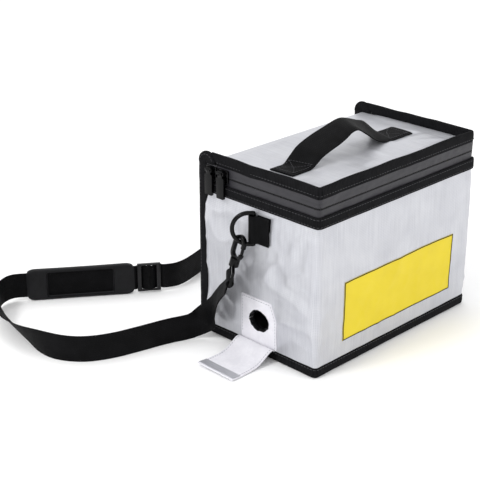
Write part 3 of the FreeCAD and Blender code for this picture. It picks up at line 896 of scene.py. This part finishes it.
@dataclass
class Bindings:
    """Black grosgrain that closes every seam, with its stitching."""

    body: Body
    floor_tall: float = 10.5
    rim_low: float = 138.5
    rim_tall: float = 10.5
    lid_face: float = 164.5
    lid_top: float = 175.0
    lid_rear: float = 53.7
    tape_rear: float = 60.5
    wall: float = 3.2
    floor_thick: float = 3.9
    rim_thick: float = 1.7
    lid_thick: float = 3.6
    back_thick: float = 3.7
    back_clear: float = 0.35
    disc_clear: float = 11.3

    def floor(self) -> None:
        """Make the seam that the bag stands on."""
        stations = self.body.line(-1.4, self.floor_tall / 2)
        tape = sweep("floor_seam_tape", stations, pillow(self.floor_thick, self.floor_tall, 0.25),
                     GROSGRAIN, True, 0.35, 2.0)
        stand_for(tape, "floor_binding")
        row = self.body.line(0.75, self.floor_tall - 2.4)
        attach(stitching("floor_seam_stitches", row), "root")

    def rim(self) -> None:
        """Make the band under the zip, standing a little proud, on three sides."""
        middle = self.rim_low + self.rim_tall / 2
        stations = self.body.line(0.9, middle, 66.0)
        tape = sweep("rim_tape", stations, pillow(self.rim_thick, self.rim_tall, 0.3),
                     GROSGRAIN, False, 0.3, 7.0)
        stand_for(tape, "rim_binding")
        for side, height in (("low", self.rim_low + 2.0), ("high", self.rim_low + self.rim_tall - 2.0)):
            row = self.body.line(1.95, height, 65.0)
            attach(stitching(f"rim_stitches_{side}", row), "root")

    def lid(self) -> None:
        """Make the raised seam round the lid."""
        tall = self.lid_top - self.lid_face + 0.8
        rows = []
        for point, out in self.body.line(-self.wall / 2, self.lid_top - tall / 2, self.tape_rear):
            near = max(0.0, self.disc_clear ** 2 - (self.body.half_deep - point.y) ** 2)
            floor = self.lid_face + math.sqrt(near) if near else 0.0
            wave = UP * (0.8 * ripple(point, 46, 12.5) + 0.35 * ripple(point, 15, 3.3))
            shift = out * 0.55 * ripple(point, 24, 11.0) + wave * smooth_step((50.0 - point.y) / 20)
            row = [point + shift + out * a + UP * b for a, b in pillow(self.lid_thick, tall, 0.35)]
            rows.append([Vector((p.x, p.y, max(p.z, min(floor, self.lid_top - 0.4)))) for p in row])
        stand_for(loft("lid_seam_tape", rows, GROSGRAIN), "lid_binding")
        row = self.body.line(0.45, self.lid_top - 7.6, self.lid_rear)
        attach(stitching("lid_seam_stitches", row), "lid")

    def back(self, side: int) -> None:
        """Make the upright seam of a back corner, rounded over the hinge line.

        Args:
            side: -1 for the left one, 1 for the right one.
        """
        name = "left" if side < 0 else "right"
        pivot = Vector((0, self.body.half_deep, self.lid_face))
        reach = self.lid_top - self.lid_face
        spine = [(Vector((0, pivot.y - 0.5, z)), Vector((0, 1, 0))) for z in span(0.2, self.lid_face - 1, 60)]
        for turn in span(0, 176, 16):
            angle = math.radians(turn)
            spine.append((pivot, Vector((0, math.cos(angle), math.sin(angle)))))
        rows, seam = [], []
        x = side * (self.body.half_wide - self.wall / 2 + self.back_clear)
        for root, out in spine:
            wander = side * 0.5 * abs(ripple(root + out * 9, 18, 3.0 + side))
            row = []
            for a, b in pillow(self.back_thick, reach, 0.25):
                row.append(root + out * (b + reach / 2) + Vector((x + a + wander, 0, 0)))
            rows.append(row)
            seam.append((root + out * (reach - 2.6) + Vector((x + side * 1.95 + wander, 0, 0)),
                         Vector((side, 0, 0))))
        tape = loft(f"back_seam_tape_{name}", rows, GROSGRAIN)
        stand_for(tape, f"back_binding_{name}")
        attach(stitching(f"back_seam_stitches_{name}", seam), "root")

    def build(self) -> None:
        """Build every seam tape."""
        self.floor()
        self.rim()
        self.lid()
        self.back(-1)
        self.back(1)


@dataclass
class Zip:
    """Two tapes, their coils and the two sliders."""

    body: Body
    low: float = 143.8
    split: tuple[float, float] = (155.2, 156.8)
    high: float = 164.6
    rear: float = 53.7
    back: float = 65.9
    slit_end: float = 64.5
    pitch: float = 1.7

    def tapes(self) -> None:
        """Make both tapes, and the closed stretch behind the last slider."""
        for name, node, low, high in (("zip_tape_low", "lower_zip_tape", self.low, self.split[0]),
                                      ("zip_tape_high", "upper_zip_tape", self.split[1], self.high)):
            rows = []
            for point, out in self.body.line(-0.05, 0.0, self.rear, 2.0):
                row = []
                for share in span(0, 1, 9):
                    at = Vector((point.x, point.y, low + (high - low) * share))
                    edge = math.sin(math.pi * share)
                    row.append(at + out * (0.45 * ripple(at, 17, 3.3) * edge + 0.25 * ripple(at, 6,
                                                                                             8.8) * edge))
                rows.append([*row, *(p - Vector((out.x, out.y, 0)) * 0.7 for p in reversed(row))])
            stand_for(loft(name, rows, ZIP_TAPE), node)
        for side in (-1, 1):
            name = "left" if side < 0 else "right"
            verts, faces, coords = [], [], []
            columns, levels = span(self.rear, self.back, 14), [self.low, 147, 150, 152.5, 155.2, 156.8, 159,
                                                               161.5, 164.5]
            for y in columns:
                for z in levels:
                    verts.append(Vector((side * (self.body.half_wide - 0.1), y, z)))
            tall = len(levels)
            for i, (y0, y1) in enumerate(zip(columns, columns[1:])):
                for j, (z0, z1) in enumerate(zip(levels, levels[1:])):
                    if z0 == self.split[0] and (y0 + y1) / 2 < self.slit_end:
                        continue
                    faces.append((i * tall + j, (i + 1) * tall + j, (i + 1) * tall + j + 1, i * tall + j + 1))
                    coords.append(((y0, z0), (y1, z0), (y1, z1), (y0, z1)))
            end = finish_mesh(f"zip_closed_end_{name}", verts, faces, coords, ZIP_TAPE)
            step = end.modifiers.new("thick", "SOLIDIFY")
            step.thickness, step.offset = 0.7 * MM, -1.0
            stand_for(applied(end), f"zip_end_{name}")

    def coils(self) -> None:
        """Make both rows of coil loops, meshed along the slit."""
        for name, node, height, phase in (("zip_loops_low", "lower_zip_coil", 155.0, 0.0),
                                          ("zip_loops_high", "upper_zip_coil", 157.0, 0.5)):
            line = self.body.line(-1.0, height, self.rear)
            spots = []
            for place, out, along in resample(line, self.pitch):
                tilt = (UP + along * (0.12 if phase else -0.12)).normalized()
                spots.append((place + along * self.pitch * phase, tilt, out))
            loops = beads(name, spots, (4.4, 0.95, 1.5), COIL)
            stand_for(loops, node)

    def build(self) -> None:
        """Build the zip and its sliders."""
        self.tapes()
        self.coils()
        for place in ("front", "rear"):
            softened(f"zip_slider_{place}", 0.45, BLACK_ZINC)
            softened(f"zip_pull_{place}", 0.55, BLACK_ZINC)


@dataclass
class Lid:
    """Lid cloth, its lining, the fold at the back and the webbing handle."""

    body: Body
    face: float = 164.5
    rear: float = 65.7
    handle_thick: float = 1.8
    rear_edge: tuple[tuple[float, float, float], ...] = (
        (-83, 13, 166.3), (-74, 13, 166.3), (-66, 13, 166.5), (-59, 13, 171.5), (-50, 13, 178.2), (-40, 13,
                                                                                                   182.2),
        (-28, 13, 185.6), (-14, 13, 188.6), (0, 13, 191.6), (9, 13, 192.0), (19, 13, 189.4), (31, 13, 185.2),
        (43, 13, 181), (52, 13, 173), (59, 13, 167), (66, 13, 166.3), (84, 13, 166.3))
    front_edge: tuple[tuple[float, float, float], ...] = (
        (-82, -13, 166.3), (-70, -13, 166.3), (-58, -13, 166.4), (-51, -13, 169.5), (-43, -13, 173.8),
        (-33, -13, 177), (-21, -13, 180.2), (-12, -13, 183.6), (-5, -13, 187), (4, -13, 187.6), (15, -13,
                                                                                                 181.5),
        (27, -13, 173.6), (38, -13, 168.4), (48, -13, 166.6), (56, -13, 166.3), (68, -13, 166.3), (83, -13,
                                                                                                   166.3))

    def height(self, x: float, y: float) -> float:
        """Return the lid cloth's height at a point: near flat, with soft dents and creases."""
        at = Vector((x, y, 0))
        edge_x = smooth_step((104.0 - abs(x)) / 16)
        edge_y = smooth_step((y + 62.8) / 16) * smooth_step((self.rear - y) / 10)
        under = (1 - 0.85 * smooth_step((abs(x) - 48) / 8) * smooth_step((20 - abs(y)) / 6)
                 * smooth_step((92 - abs(x)) / 6))
        lumps = 1.0 * ripple(at, 48, 6.2) + 0.6 * crease(at, 44, 3.7) + 0.3 * crease(at, 20, 7.7)
        rise = max(5.6 * smooth_step((-84.0 - x) / 20), 1.5 * smooth_step((x - 92.0) / 12),
                   (5.2 + 0.9 * ripple(at, 40, 2.2)) * smooth_step((-44.0 - y) / 18))
        return self.face + rise * smooth_step((62.0 - y) / 26) + edge_x * edge_y * under * max(lumps + 0.5,
                                                                                               0.0)

    def cloths(self) -> None:
        """Make the lid's outer cloth, its lining and the back fold."""
        x = self.body.half_wide - self.body.inside
        rows = [[Vector((a, b, self.height(a, b))) for b in span(-62.8, self.rear, 54)] for a in span(-x, x,
                                                                                                      88)]
        stand_for(cloth("lid_cloth", rows, UP, 0.5, SILVER), "lid_panel")
        grid = [[Vector((a, b, 161.65 - 0.4 * abs(ripple(Vector((a, b, 0)), 36, 2.5)) - 0.25 * crease(
            Vector((a, b, 0)), 38, 4.4))) for b in span(-62.5, self.rear, 30)] for a in span(-x + 0.4,
                                                                                             x - 0.4, 46)]
        stand_for(cloth("lid_lining_cloth", grid, Vector((0, 0, -1)), 0.35, LINING), "lid_lining")
        profile = curve_through(((66.3, 139.0), (66.35, 146), (66.35, 152), (66.35, 158), (66.2, 161.5),
                                 (65.7, 163.8), (64.2, 164.75),
                                 (61.0, 164.9), (57, 164.75)), 30)
        inner = self.body.half_wide - self.body.inside - 0.3
        rows = [[Vector((a, p.x, p.y)) for p in profile] for a in span(-inner, inner, 60)]
        fold = loft("back_fold", [[*row, *(Vector((p.x, p.y - 0.35, p.z - 0.35)) for p in reversed(row))]
                                  for row in rows], SILVER)
        seam = [(Vector((a, 66.4, 141.0)), Vector((0, 1, 0))) for a in span(-inner, inner, 60)]
        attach(stitching("back_fold_stitches", seam, PALE_THREAD), "root")
        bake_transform(fold)

    def handle(self) -> None:
        """Make the webbing handle with its leaning arch and its sewn ends."""
        count = 150
        rears, fronts = curve_through(self.rear_edge, count), curve_through(self.front_edge, count)
        rows, middles = [], []
        for i, (rear, front) in enumerate(zip(rears, fronts)):
            k, m = max(i - 1, 0), min(i + 1, count - 1)
            along = ((rears[m] + fronts[m]) - (rears[k] + fronts[k])).normalized()
            wide = (front - rear).normalized()
            out = wide.cross(along).normalized()
            out = out if out.z > 0 else -out
            row = []
            for share in span(0, 1, 9):
                edge = min(share, 1 - share)
                puff = 0.25 * math.sin(math.pi * share) - (0.5 if edge < 0.01 else 0)
                row.append(rear.lerp(front, share) + out * puff)
            rows.append([*row, *(p - out * (self.handle_thick - (0.9 if j in (0, 8) else 0))
                                 for j, p in reversed(list(enumerate(row))))])
            middles.append((rear, front, out))
        strap = loft("handle_webbing", rows, WEBBING)
        stand_for(strap, "handle")
        for name, low, high in (("left", 3, 24), ("right", 125, 146)):
            box = []
            ring = [(low, 0.1), (high, 0.1), (high, 0.9), (low, 0.9), (low, 0.1)]
            cross = [(low, 0.1), (high, 0.9)], [(low, 0.9), (high, 0.1)]
            for path in (ring, *cross):
                run = []
                for (i0, s0), (i1, s1) in zip(path, path[1:]):
                    for t in span(0, 1, 12):
                        rear, front, out = middles[round(i0 + (i1 - i0) * t)]
                        run.append((rear.lerp(front, s0 + (s1 - s0) * t) + out * 0.35, out))
                box += [(p, t, n) for p, n, t in resample(run, 2.8)]
            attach(beads(f"handle_stitches_{name}", box, (2.1, 0.75, 0.7), THREAD), "lid")

    def build(self) -> None:
        """Build the lid."""
        self.cloths()
        self.handle()


# ------------------------------------------------------------------ vent flap
@dataclass
class Flap:
    """Flap that lies open below the vent: brushed loop inside, a coated hem near its end."""

    front: float = -19.0
    back: float = 23.5
    thick: float = 1.3
    line: tuple[tuple[float, float], ...] = (
        (-108.4, 10.2), (-110.6, 11.9), (-115.0, 10.9), (-121.0, 7.2), (-128.0, 3.8), (-136.0, 2.2),
        (-145.0, 1.9), (-154.0, 2.0), (-161.5, 2.5))
    hem: tuple[float, float] = (0.83, 0.975)

    def profile(self, low: float, high: float, lift: float, count: int) -> list[list[Vector]]:
        """Return rows of points on part of the flap.

        Args:
            low: Share of the flap's length where the part starts.
            high: Share where it ends.
            lift: Height above the flap's upper face.
            count: Number of rows.

        Returns:
            One row of points across the flap per step.
        """
        fine = curve_through(self.line, 201)
        rows = []
        for share in span(low, high, count):
            at = fine[round(share * 200)]
            near = fine[min(round(share * 200) + 1, 200)] - fine[max(round(share * 200) - 1, 0)]
            out = Vector((near.y, 0, -near.x)).normalized()
            row = []
            for y in span(self.front, self.back, 24):
                twist = 0.9 * share ** 2 * (y - self.front) / (self.back - self.front)
                flat = Vector((at.x, y, at.y + twist))
                row.append(flat + out * (lift + 0.22 * ripple(flat, 15, 4.0) * smooth_step(share * 4)))
            rows.append(row)
        return rows

    def build(self) -> None:
        """Build the flap, its hem and its stitches."""
        flap = cloth("flap_pile", self.profile(0, 1, 0.0, 40), UP, self.thick - 0.3, LOOP_PILE)
        stand_for(flap, "vent_flap")
        hem = cloth("flap_hem", self.profile(*self.hem, 0.42, 12), UP, 0.5, SILVER)
        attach(hem, "vent_flap")
        rows = self.profile(0.02, 0.985, 0.05, 40)
        for name, column in (("front", 1), ("rear", -2)):
            edge = [(row[column], UP) for row in rows[1:]]
            stitches = stitching(f"flap_stitches_{name}", edge, PALE_THREAD, 2.8, 2.0)
            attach(stitches, "vent_flap")


# ------------------------------------------------------------------ rings, hooks and straps
@dataclass
class Carrier:
    """Webbing tab, ring, snap hook, swivel eye and the strap's folded end, on one side."""

    side: int
    body: Body
    tab_front: float = -13.0
    ring_y: float = 5.0
    ring_z: float = 120.5
    bar_x: float = 111.1
    wide: float = 25.0
    wrap: float = 3.1
    bar_at: tuple[float, float, float] = (125.42, 19.33, 74.22)
    ring_paint: float = 0.35
    hook_paint: float = 0.45

    def name(self) -> str:
        """Return the side's word."""
        return "left" if self.side < 0 else "right"

    def tab(self) -> None:
        """Make the folded webbing tab that holds the ring's bar."""
        face = self.body.half_wide + 1.4
        flat = ((1.3, self.tab_front), (1.35, self.tab_front + 4), (1.4, -4.0), (1.5, -0.5))
        stations = [Vector(((face + lift) * self.side, y, 0)) for lift, y in flat]
        loop = [Vector((self.side * (self.bar_x + self.wrap * math.cos(math.radians(t))),
                        self.ring_y + self.wrap * math.sin(math.radians(t)), 0)) for t in span(-60, 175, 16)]
        line = [*stations, *loop]
        rows = []
        for i, at in enumerate(line):
            near = (line[min(i + 1, len(line) - 1)] - line[max(i - 1, 0)]).normalized()
            out = near.cross(UP) * -self.side
            row = [at + UP * z - out * 0.15 * (abs(z) > 12) for z in
                   (v + self.ring_z for v in span(-self.wide / 2, self.wide / 2, 9))]
            rows.append([*row, *(p - out * 1.2 for p in reversed(row))])
        under = [[Vector((self.side * x, y, self.ring_z + z)) for z in span(-self.wide / 2, self.wide / 2, 5)]
                 for x, y in ((face + 0.05, self.tab_front + 0.4), (face + 0.05, -6.0), (face + 0.1, 2.0))]
        tab = loft(f"ring_tab_webbing_{self.name()}", rows, WEBBING)
        stand_for(tab, f"ring_tab_{self.name()}")
        backing = cloth(f"ring_tab_under_{self.name()}", under, Vector((self.side, 0, 0)), 1.2, WEBBING)
        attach(backing, "root")
        front, rear = self.tab_front + 1.8, 0.5
        low, high = self.ring_z - self.wide / 2 + 2.0, self.ring_z + self.wide / 2 - 2.0
        x = self.side * (face + 1.5)
        spots = []
        for path in (((front, low), (rear, low), (rear, high), (front, high), (front, low)),
                     ((front, low), (rear, high)), ((front, high), (rear, low))):
            for (y0, z0), (y1, z1) in zip(path, path[1:]):
                run = [(Vector((x, y0, z0)), Vector((self.side, 0, 0))), (Vector((x, y1, z1)),
                                                                          Vector((self.side, 0, 0)))]
                spots += [(p, t, n) for p, n, t in resample(run, 2.7)]
        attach(beads(f"ring_tab_stitches_{self.name()}", spots, (2.0, 0.7, 0.6), THREAD), "root")

    def strap_fold(self) -> None:
        """Make the strap's end, folded round the eye's lower bar."""
        bar = Vector((self.side * self.bar_at[0], self.bar_at[1], self.bar_at[2]))
        along = Vector((self.side * DIAGONAL, -DIAGONAL, 0))
        up = Vector((-self.side * 0.183, -0.183, 0.966)).normalized()
        out = along.cross(up).normalized()
        rows = []
        for turn in span(0, 360, 33)[:-1]:
            angle = math.radians(turn)
            spoke = out * math.cos(angle) + up * math.sin(angle)
            drawn = 1 + 0.22 * max(0.0, -math.sin(angle)) ** 3
            row = [bar + along * a + spoke * (3.45 * drawn) for a in span(-self.wide / 2, self.wide / 2, 9)]
            rows.append([*row, *(p - spoke * 1.3 for p in reversed(row))])
        fold = loft(f"strap_fold_{self.name()}", rows, WEBBING, loop=True)
        stand_for(fold, f"strap_end_{self.name()}")

    def build(self) -> None:
        """Build this side's carrying parts."""
        self.tab()
        softened(f"carry_ring_{self.name()}", 0.1, BLACK_ZINC, self.ring_paint)
        softened(f"snap_hook_{self.name()}", 0.75, BLACK_ZINC, self.hook_paint)
        softened(f"hook_gate_{self.name()}", 0.6, BLACK_ZINC)
        softened(f"swivel_eye_{self.name()}", 0.75, BLACK_ZINC)
        self.strap_fold()


@dataclass
class Strap:
    """Shoulder strap: one run of webbing from eye to eye, with its pad and its slide."""

    wide: float = 25.0
    thick: float = 1.5
    pad_long: float = 104.5
    pad_high: float = 32.0
    pad_thick: float = 7.0
    slide_long: float = 23.0
    bar: float = 4.0
    link: float = 3.0
    length: float = 0.85
    # The first and last two points lie up to 2 mm off the frame's tube, so that the webbing meets its folds.
    route: tuple[tuple[float, float, float], ...] = (
        (-126.5, 20.4, 68.1), (-126.3, 30.0, 57.5), (-123.5, 40.0, 43.5), (-120.5, 49.5, 27.5), (-123.0,
                                                                                                 59.0, 16.5),
        (-134.0, 66.0, 12.5), (-151.0, 73.0, 12.5), (-177.0, 79.0, 12.5), (-206.0, 86.5, 12.5), (-229.0,
                                                                                                 99.5, 12.5),
        (-243.0, 121.0, 12.5), (-247.0, 148.0, 12.5), (-243.5, 175.0, 12.5), (-238.0, 196.0, 12.5),
        (-232.5, 214.0, 12.5), (-226.0, 231.0, 13.0), (-214.5, 244.0, 14.5), (-199.5, 246.5, 16.0),
        (-187.0, 237.5, 16.0), (-85.0, 164.1, 16.0), (-70.6, 153.7, 16.0), (-53.0, 156.5, 14.0), (-25.0,
                                                                                                  166.0,
                                                                                                  12.5),
        (4.0, 176.5, 12.5), (38.0, 178.5, 12.5), (70.0, 170.0, 12.5), (97.0, 152.0, 12.5), (115.5, 127.0,
                                                                                            12.5),
        (124.0, 99.0, 12.5), (125.0, 78.0, 13.0), (123.0, 59.0, 16.5), (120.5, 49.5, 27.5), (123.5, 40.0,
                                                                                             43.5),
        (126.3, 30.0, 57.5), (126.5, 20.4, 68.1))

    def centre_line(self) -> list[Vector]:
        """Return points read from the route's own spline, in millimetres."""
        curve = bpy.data.curves.new("strap_route", "CURVE")
        curve.dimensions, curve.resolution_u = "3D", 16
        spline = curve.splines.new("NURBS")
        spline.points.add(len(self.route) - 1)
        for point, at in zip(spline.points, self.route):
            point.co = (*at, 1.0)
        spline.order_u, spline.use_endpoint_u = 3, True
        holder = bpy.data.objects.new("strap_route", curve)
        bpy.context.collection.objects.link(holder)
        mesh = bpy.data.meshes.new_from_object(holder)
        points = [v.co.copy() for v in mesh.vertices]
        bpy.data.objects.remove(holder)
        bpy.data.meshes.remove(mesh)
        return points

    def heading(self) -> tuple[Vector, Vector]:
        """Return where the pad starts and the direction it runs."""
        start = Vector(self.route[18])
        return start, (Vector((start.x, start.y, 0)) - Vector((self.route[17][0], self.route[17][1],
                                                               0))).normalized()

    def stand(self, point: Vector, along: Vector) -> Vector:
        """Return the webbing's width direction at a point of its line."""
        flat = Vector((along.x, along.y, 0))
        outward = Vector((-flat.y, flat.x, 0)).normalized() if flat.length > 1e-4 else Vector((0, 1, 0))
        lean = (0.62 * smooth_step((point.y - 120) / 60) * smooth_step((232 - point.y) / 30)
                if point.x < -200 else 0.0)
        width = UP * math.cos(lean) + outward * math.sin(lean)
        fall = smooth_step((point.z - 15) / 46)
        hung = Vector((-math.copysign(DIAGONAL, point.x), DIAGONAL, 0.0))
        width = width.lerp(hung, fall) if fall > 0 else width
        return (width - along * width.dot(along)).normalized()

    def step_aside(self, reach: float) -> float:
        """Return how far the webbing lies behind its line where it weaves through the slide."""
        start = self.pad_long + self.link
        if not start - 3 < reach < start + self.slide_long + 3:
            return 0.0
        middle = start + self.slide_long / 2
        swing = math.cos(math.pi * (reach - middle) / (self.slide_long / 2 - self.bar / 2))
        fade = smooth_step((reach - start + 3) / 3) * smooth_step((start + self.slide_long + 3 - reach) / 3)
        return -2.75 * swing * fade

    def webbing(self) -> bpy.types.Object:
        """Make the run of webbing and return it."""
        line = self.centre_line()
        start, heading = self.heading()
        across = Vector((-heading.y, heading.x, 0))
        rows = []
        previous = None
        for i, at in enumerate(line):
            along = (line[min(i + 1, len(line) - 1)] - line[max(i - 1, 0)]).normalized()
            width = self.stand(at, along)
            if previous is not None and previous.dot(width) < 0:
                width = -width
            previous = width
            out = along.cross(width).normalized()
            reach = (at - start).dot(heading)
            on_line = abs((at - start).dot(across)) < 3 and -6 < reach < self.pad_long + 44
            shift = across * self.step_aside(reach) if on_line else Vector()
            sag = UP * (abs(width.z) - 1) * self.wide / 2 if at.z < 14 else Vector()
            row = []
            for share in span(-0.5, 0.5, 9):
                rim = 0.32 if abs(share) > 0.49 else 0.0
                row.append(at + shift + sag + width * self.wide * share + out * (self.thick / 2 - rim))
            rows.append([*row, *(p - out * (self.thick - 2 * (0.32 if j in (0, 8) else 0))
                                 for j, p in reversed(list(enumerate(row))))])
        piece = loft("strap_webbing", rows, WEBBING)
        stand_for(piece, "strap_left_run", "strap_link", "strap_right_run")
        return piece

    def block(self, name: str, low: tuple[float, float, float], high: tuple[float, float, float],
              rounding: float, finish: Finish) -> bpy.types.Object:
        """Return a rounded block laid along the pad's line.

        Args:
            name: Name of the piece.
            low: Lowest corner: along, behind and up from the line's middle height.
            high: Highest corner.
            rounding: Radius of its edges.
            finish: Its material.
        """
        start, heading = self.heading()
        across = Vector((-heading.y, heading.x, 0))
        corners = [(low[0], low[1]), (high[0], low[1]), (high[0], high[1]), (low[0], high[1])]
        verts = [start + heading * a + across * b + UP * z for z in (low[2], high[2]) for a, b in corners]
        faces = [(0, 1, 2, 3), (4, 7, 6, 5), (0, 4, 5, 1), (1, 5, 6, 2), (2, 6, 7, 3), (3, 7, 4, 0)]
        piece = finish_mesh(name, verts, faces, None, finish, 30)
        if rounding:
            step = piece.modifiers.new("round", "BEVEL")
            step.width, step.segments = rounding * MM, 4
            applied(piece)
        return piece

    def pad(self) -> bpy.types.Object:
        """Make the moulded pad: full rails, two bridges over the webbing and a long window."""
        half, tall = self.pad_thick / 2, self.pad_high / 2
        start, heading = self.heading()
        across = Vector((-heading.y, heading.x, 0))
        rows = []
        for share in span(0, 1, 60):
            along = self.pad_long * share
            end = min(along, self.pad_long - along)
            close = math.sqrt(max(0.0, 1 - (1 - min(end / 9.0, 1.0)) ** 2))
            high = tall * (0.72 + 0.28 * close) - 0.4 * math.sin(math.pi * share)
            deep = half * (0.62 + 0.38 * close)
            row = []
            for i in range(32):
                angle = math.tau * i / 32
                b = math.copysign(abs(math.cos(angle)) ** 0.35, math.cos(angle)) * deep
                z = math.copysign(abs(math.sin(angle)) ** 0.35, math.sin(angle)) * high
                row.append(start + heading * along + across * b + UP * z)
            rows.append(row)
        pad = loft("shoulder_pad", rows, PAD_RUBBER, sharp=60)
        window = self.block("pad_window", (19, -6, -13.2), (85, -0.9, 13.2), 2.2, PAD_RUBBER)
        cut_away(pad, window)
        channel = self.block("pad_channel", (-3, -1.1, -12.9), (self.pad_long + 3, 1.1, 12.9), 0.0,
                             PAD_RUBBER)
        cut_away(pad, channel)
        pad.data.shade_smooth()
        pad.data.set_sharp_from_angle(angle=math.radians(35))
        DRESS.give(pad, PAD_RUBBER)
        stand_for(pad, "strap_pad")
        return pad

    def build(self) -> None:
        """Build the strap's webbing, pad and slide."""
        webbing = self.webbing()
        pad = self.pad()
        slide = softened("strap_adjuster", 0.7, ACETAL)
        path = [tuple(p * MM) for p in self.centre_line()]


# ------------------------------------------------------------------ studio
@dataclass
class Studio:
    """Floor, lights and camera."""

    camera_at: tuple[float, float, float] = (-0.8237, -0.6871, 0.5287)
    looks_at: tuple[float, float, float] = (-0.1274, 0.005, 0.1148)
    lens: float = 94.0

    def floor(self) -> None:
        """Lay seamless paper."""
        verts = [Vector((x, y, -0.2)) for x, y in ((-4000, -4000), (4000, -4000), (4000, 4000),
                                                   (-4000, 4000))]
        floor = finish_mesh("paper_floor", verts, [(0, 1, 2, 3)], None, PAPER)

    def light(self, name: str, at: tuple[float, float, float], size: float, power: float) -> None:
        """Hang one soft light that faces the bag."""
        lamp = bpy.data.lights.new(name, "AREA")
        lamp.shape, lamp.size, lamp.energy = "DISK", size, power
        holder = bpy.data.objects.new(name, lamp)
        bpy.context.collection.objects.link(holder)
        holder.location = at
        holder.rotation_euler = (Vector((-0.02, 0.02, 0.08)) - Vector(at)).to_track_quat("-Z", "Y").to_euler()

    def build(self) -> None:
        """Set the floor, the lights, the sky and the camera."""
        self.floor()
        self.light("key_softbox", (-1.35, 0.25, 1.25), 0.45, 11)
        self.light("front_softbox", (0.55, -1.7, 0.95), 1.3, 7)
        self.light("top_softbox", (0.35, 0.6, 1.9), 1.2, 5)
        world = bpy.data.worlds.new("white_room")
        world.use_nodes = True
        sky = world.node_tree.nodes["Background"]
        sky.inputs["Color"].default_value = (1, 1, 1, 1)
        sky.inputs["Strength"].default_value = 0.95
        bpy.context.scene.world = world
        camera = bpy.data.cameras.new("camera")
        camera.lens, camera.sensor_width = self.lens, 36.0
        holder = bpy.data.objects.new("camera", camera)
        bpy.context.collection.objects.link(holder)
        holder.location = self.camera_at
        aim = Vector(self.looks_at) - Vector(self.camera_at)
        holder.rotation_euler = aim.to_track_quat("-Z", "Y").to_euler()
        bpy.context.scene.camera = holder
        bpy.context.scene.view_settings.view_transform = "Standard"


def main() -> None:
    """Build every sub-assembly in order."""
    logging.basicConfig(level=logging.INFO, format="%(message)s")
    body = Body()
    steps = (Studio(), Strap(), body, Bindings(body), Zip(body), Lid(body), Flap(), Carrier(-1, body),
             Carrier(1, body))
    for step in steps:
        before = len(bpy.data.objects)
        step.build()
        LOG.info("%s: %d pieces", type(step).__name__, len(bpy.data.objects) - before)
    bpy.context.view_layer.update()


if __name__ == "__main__":
    main()
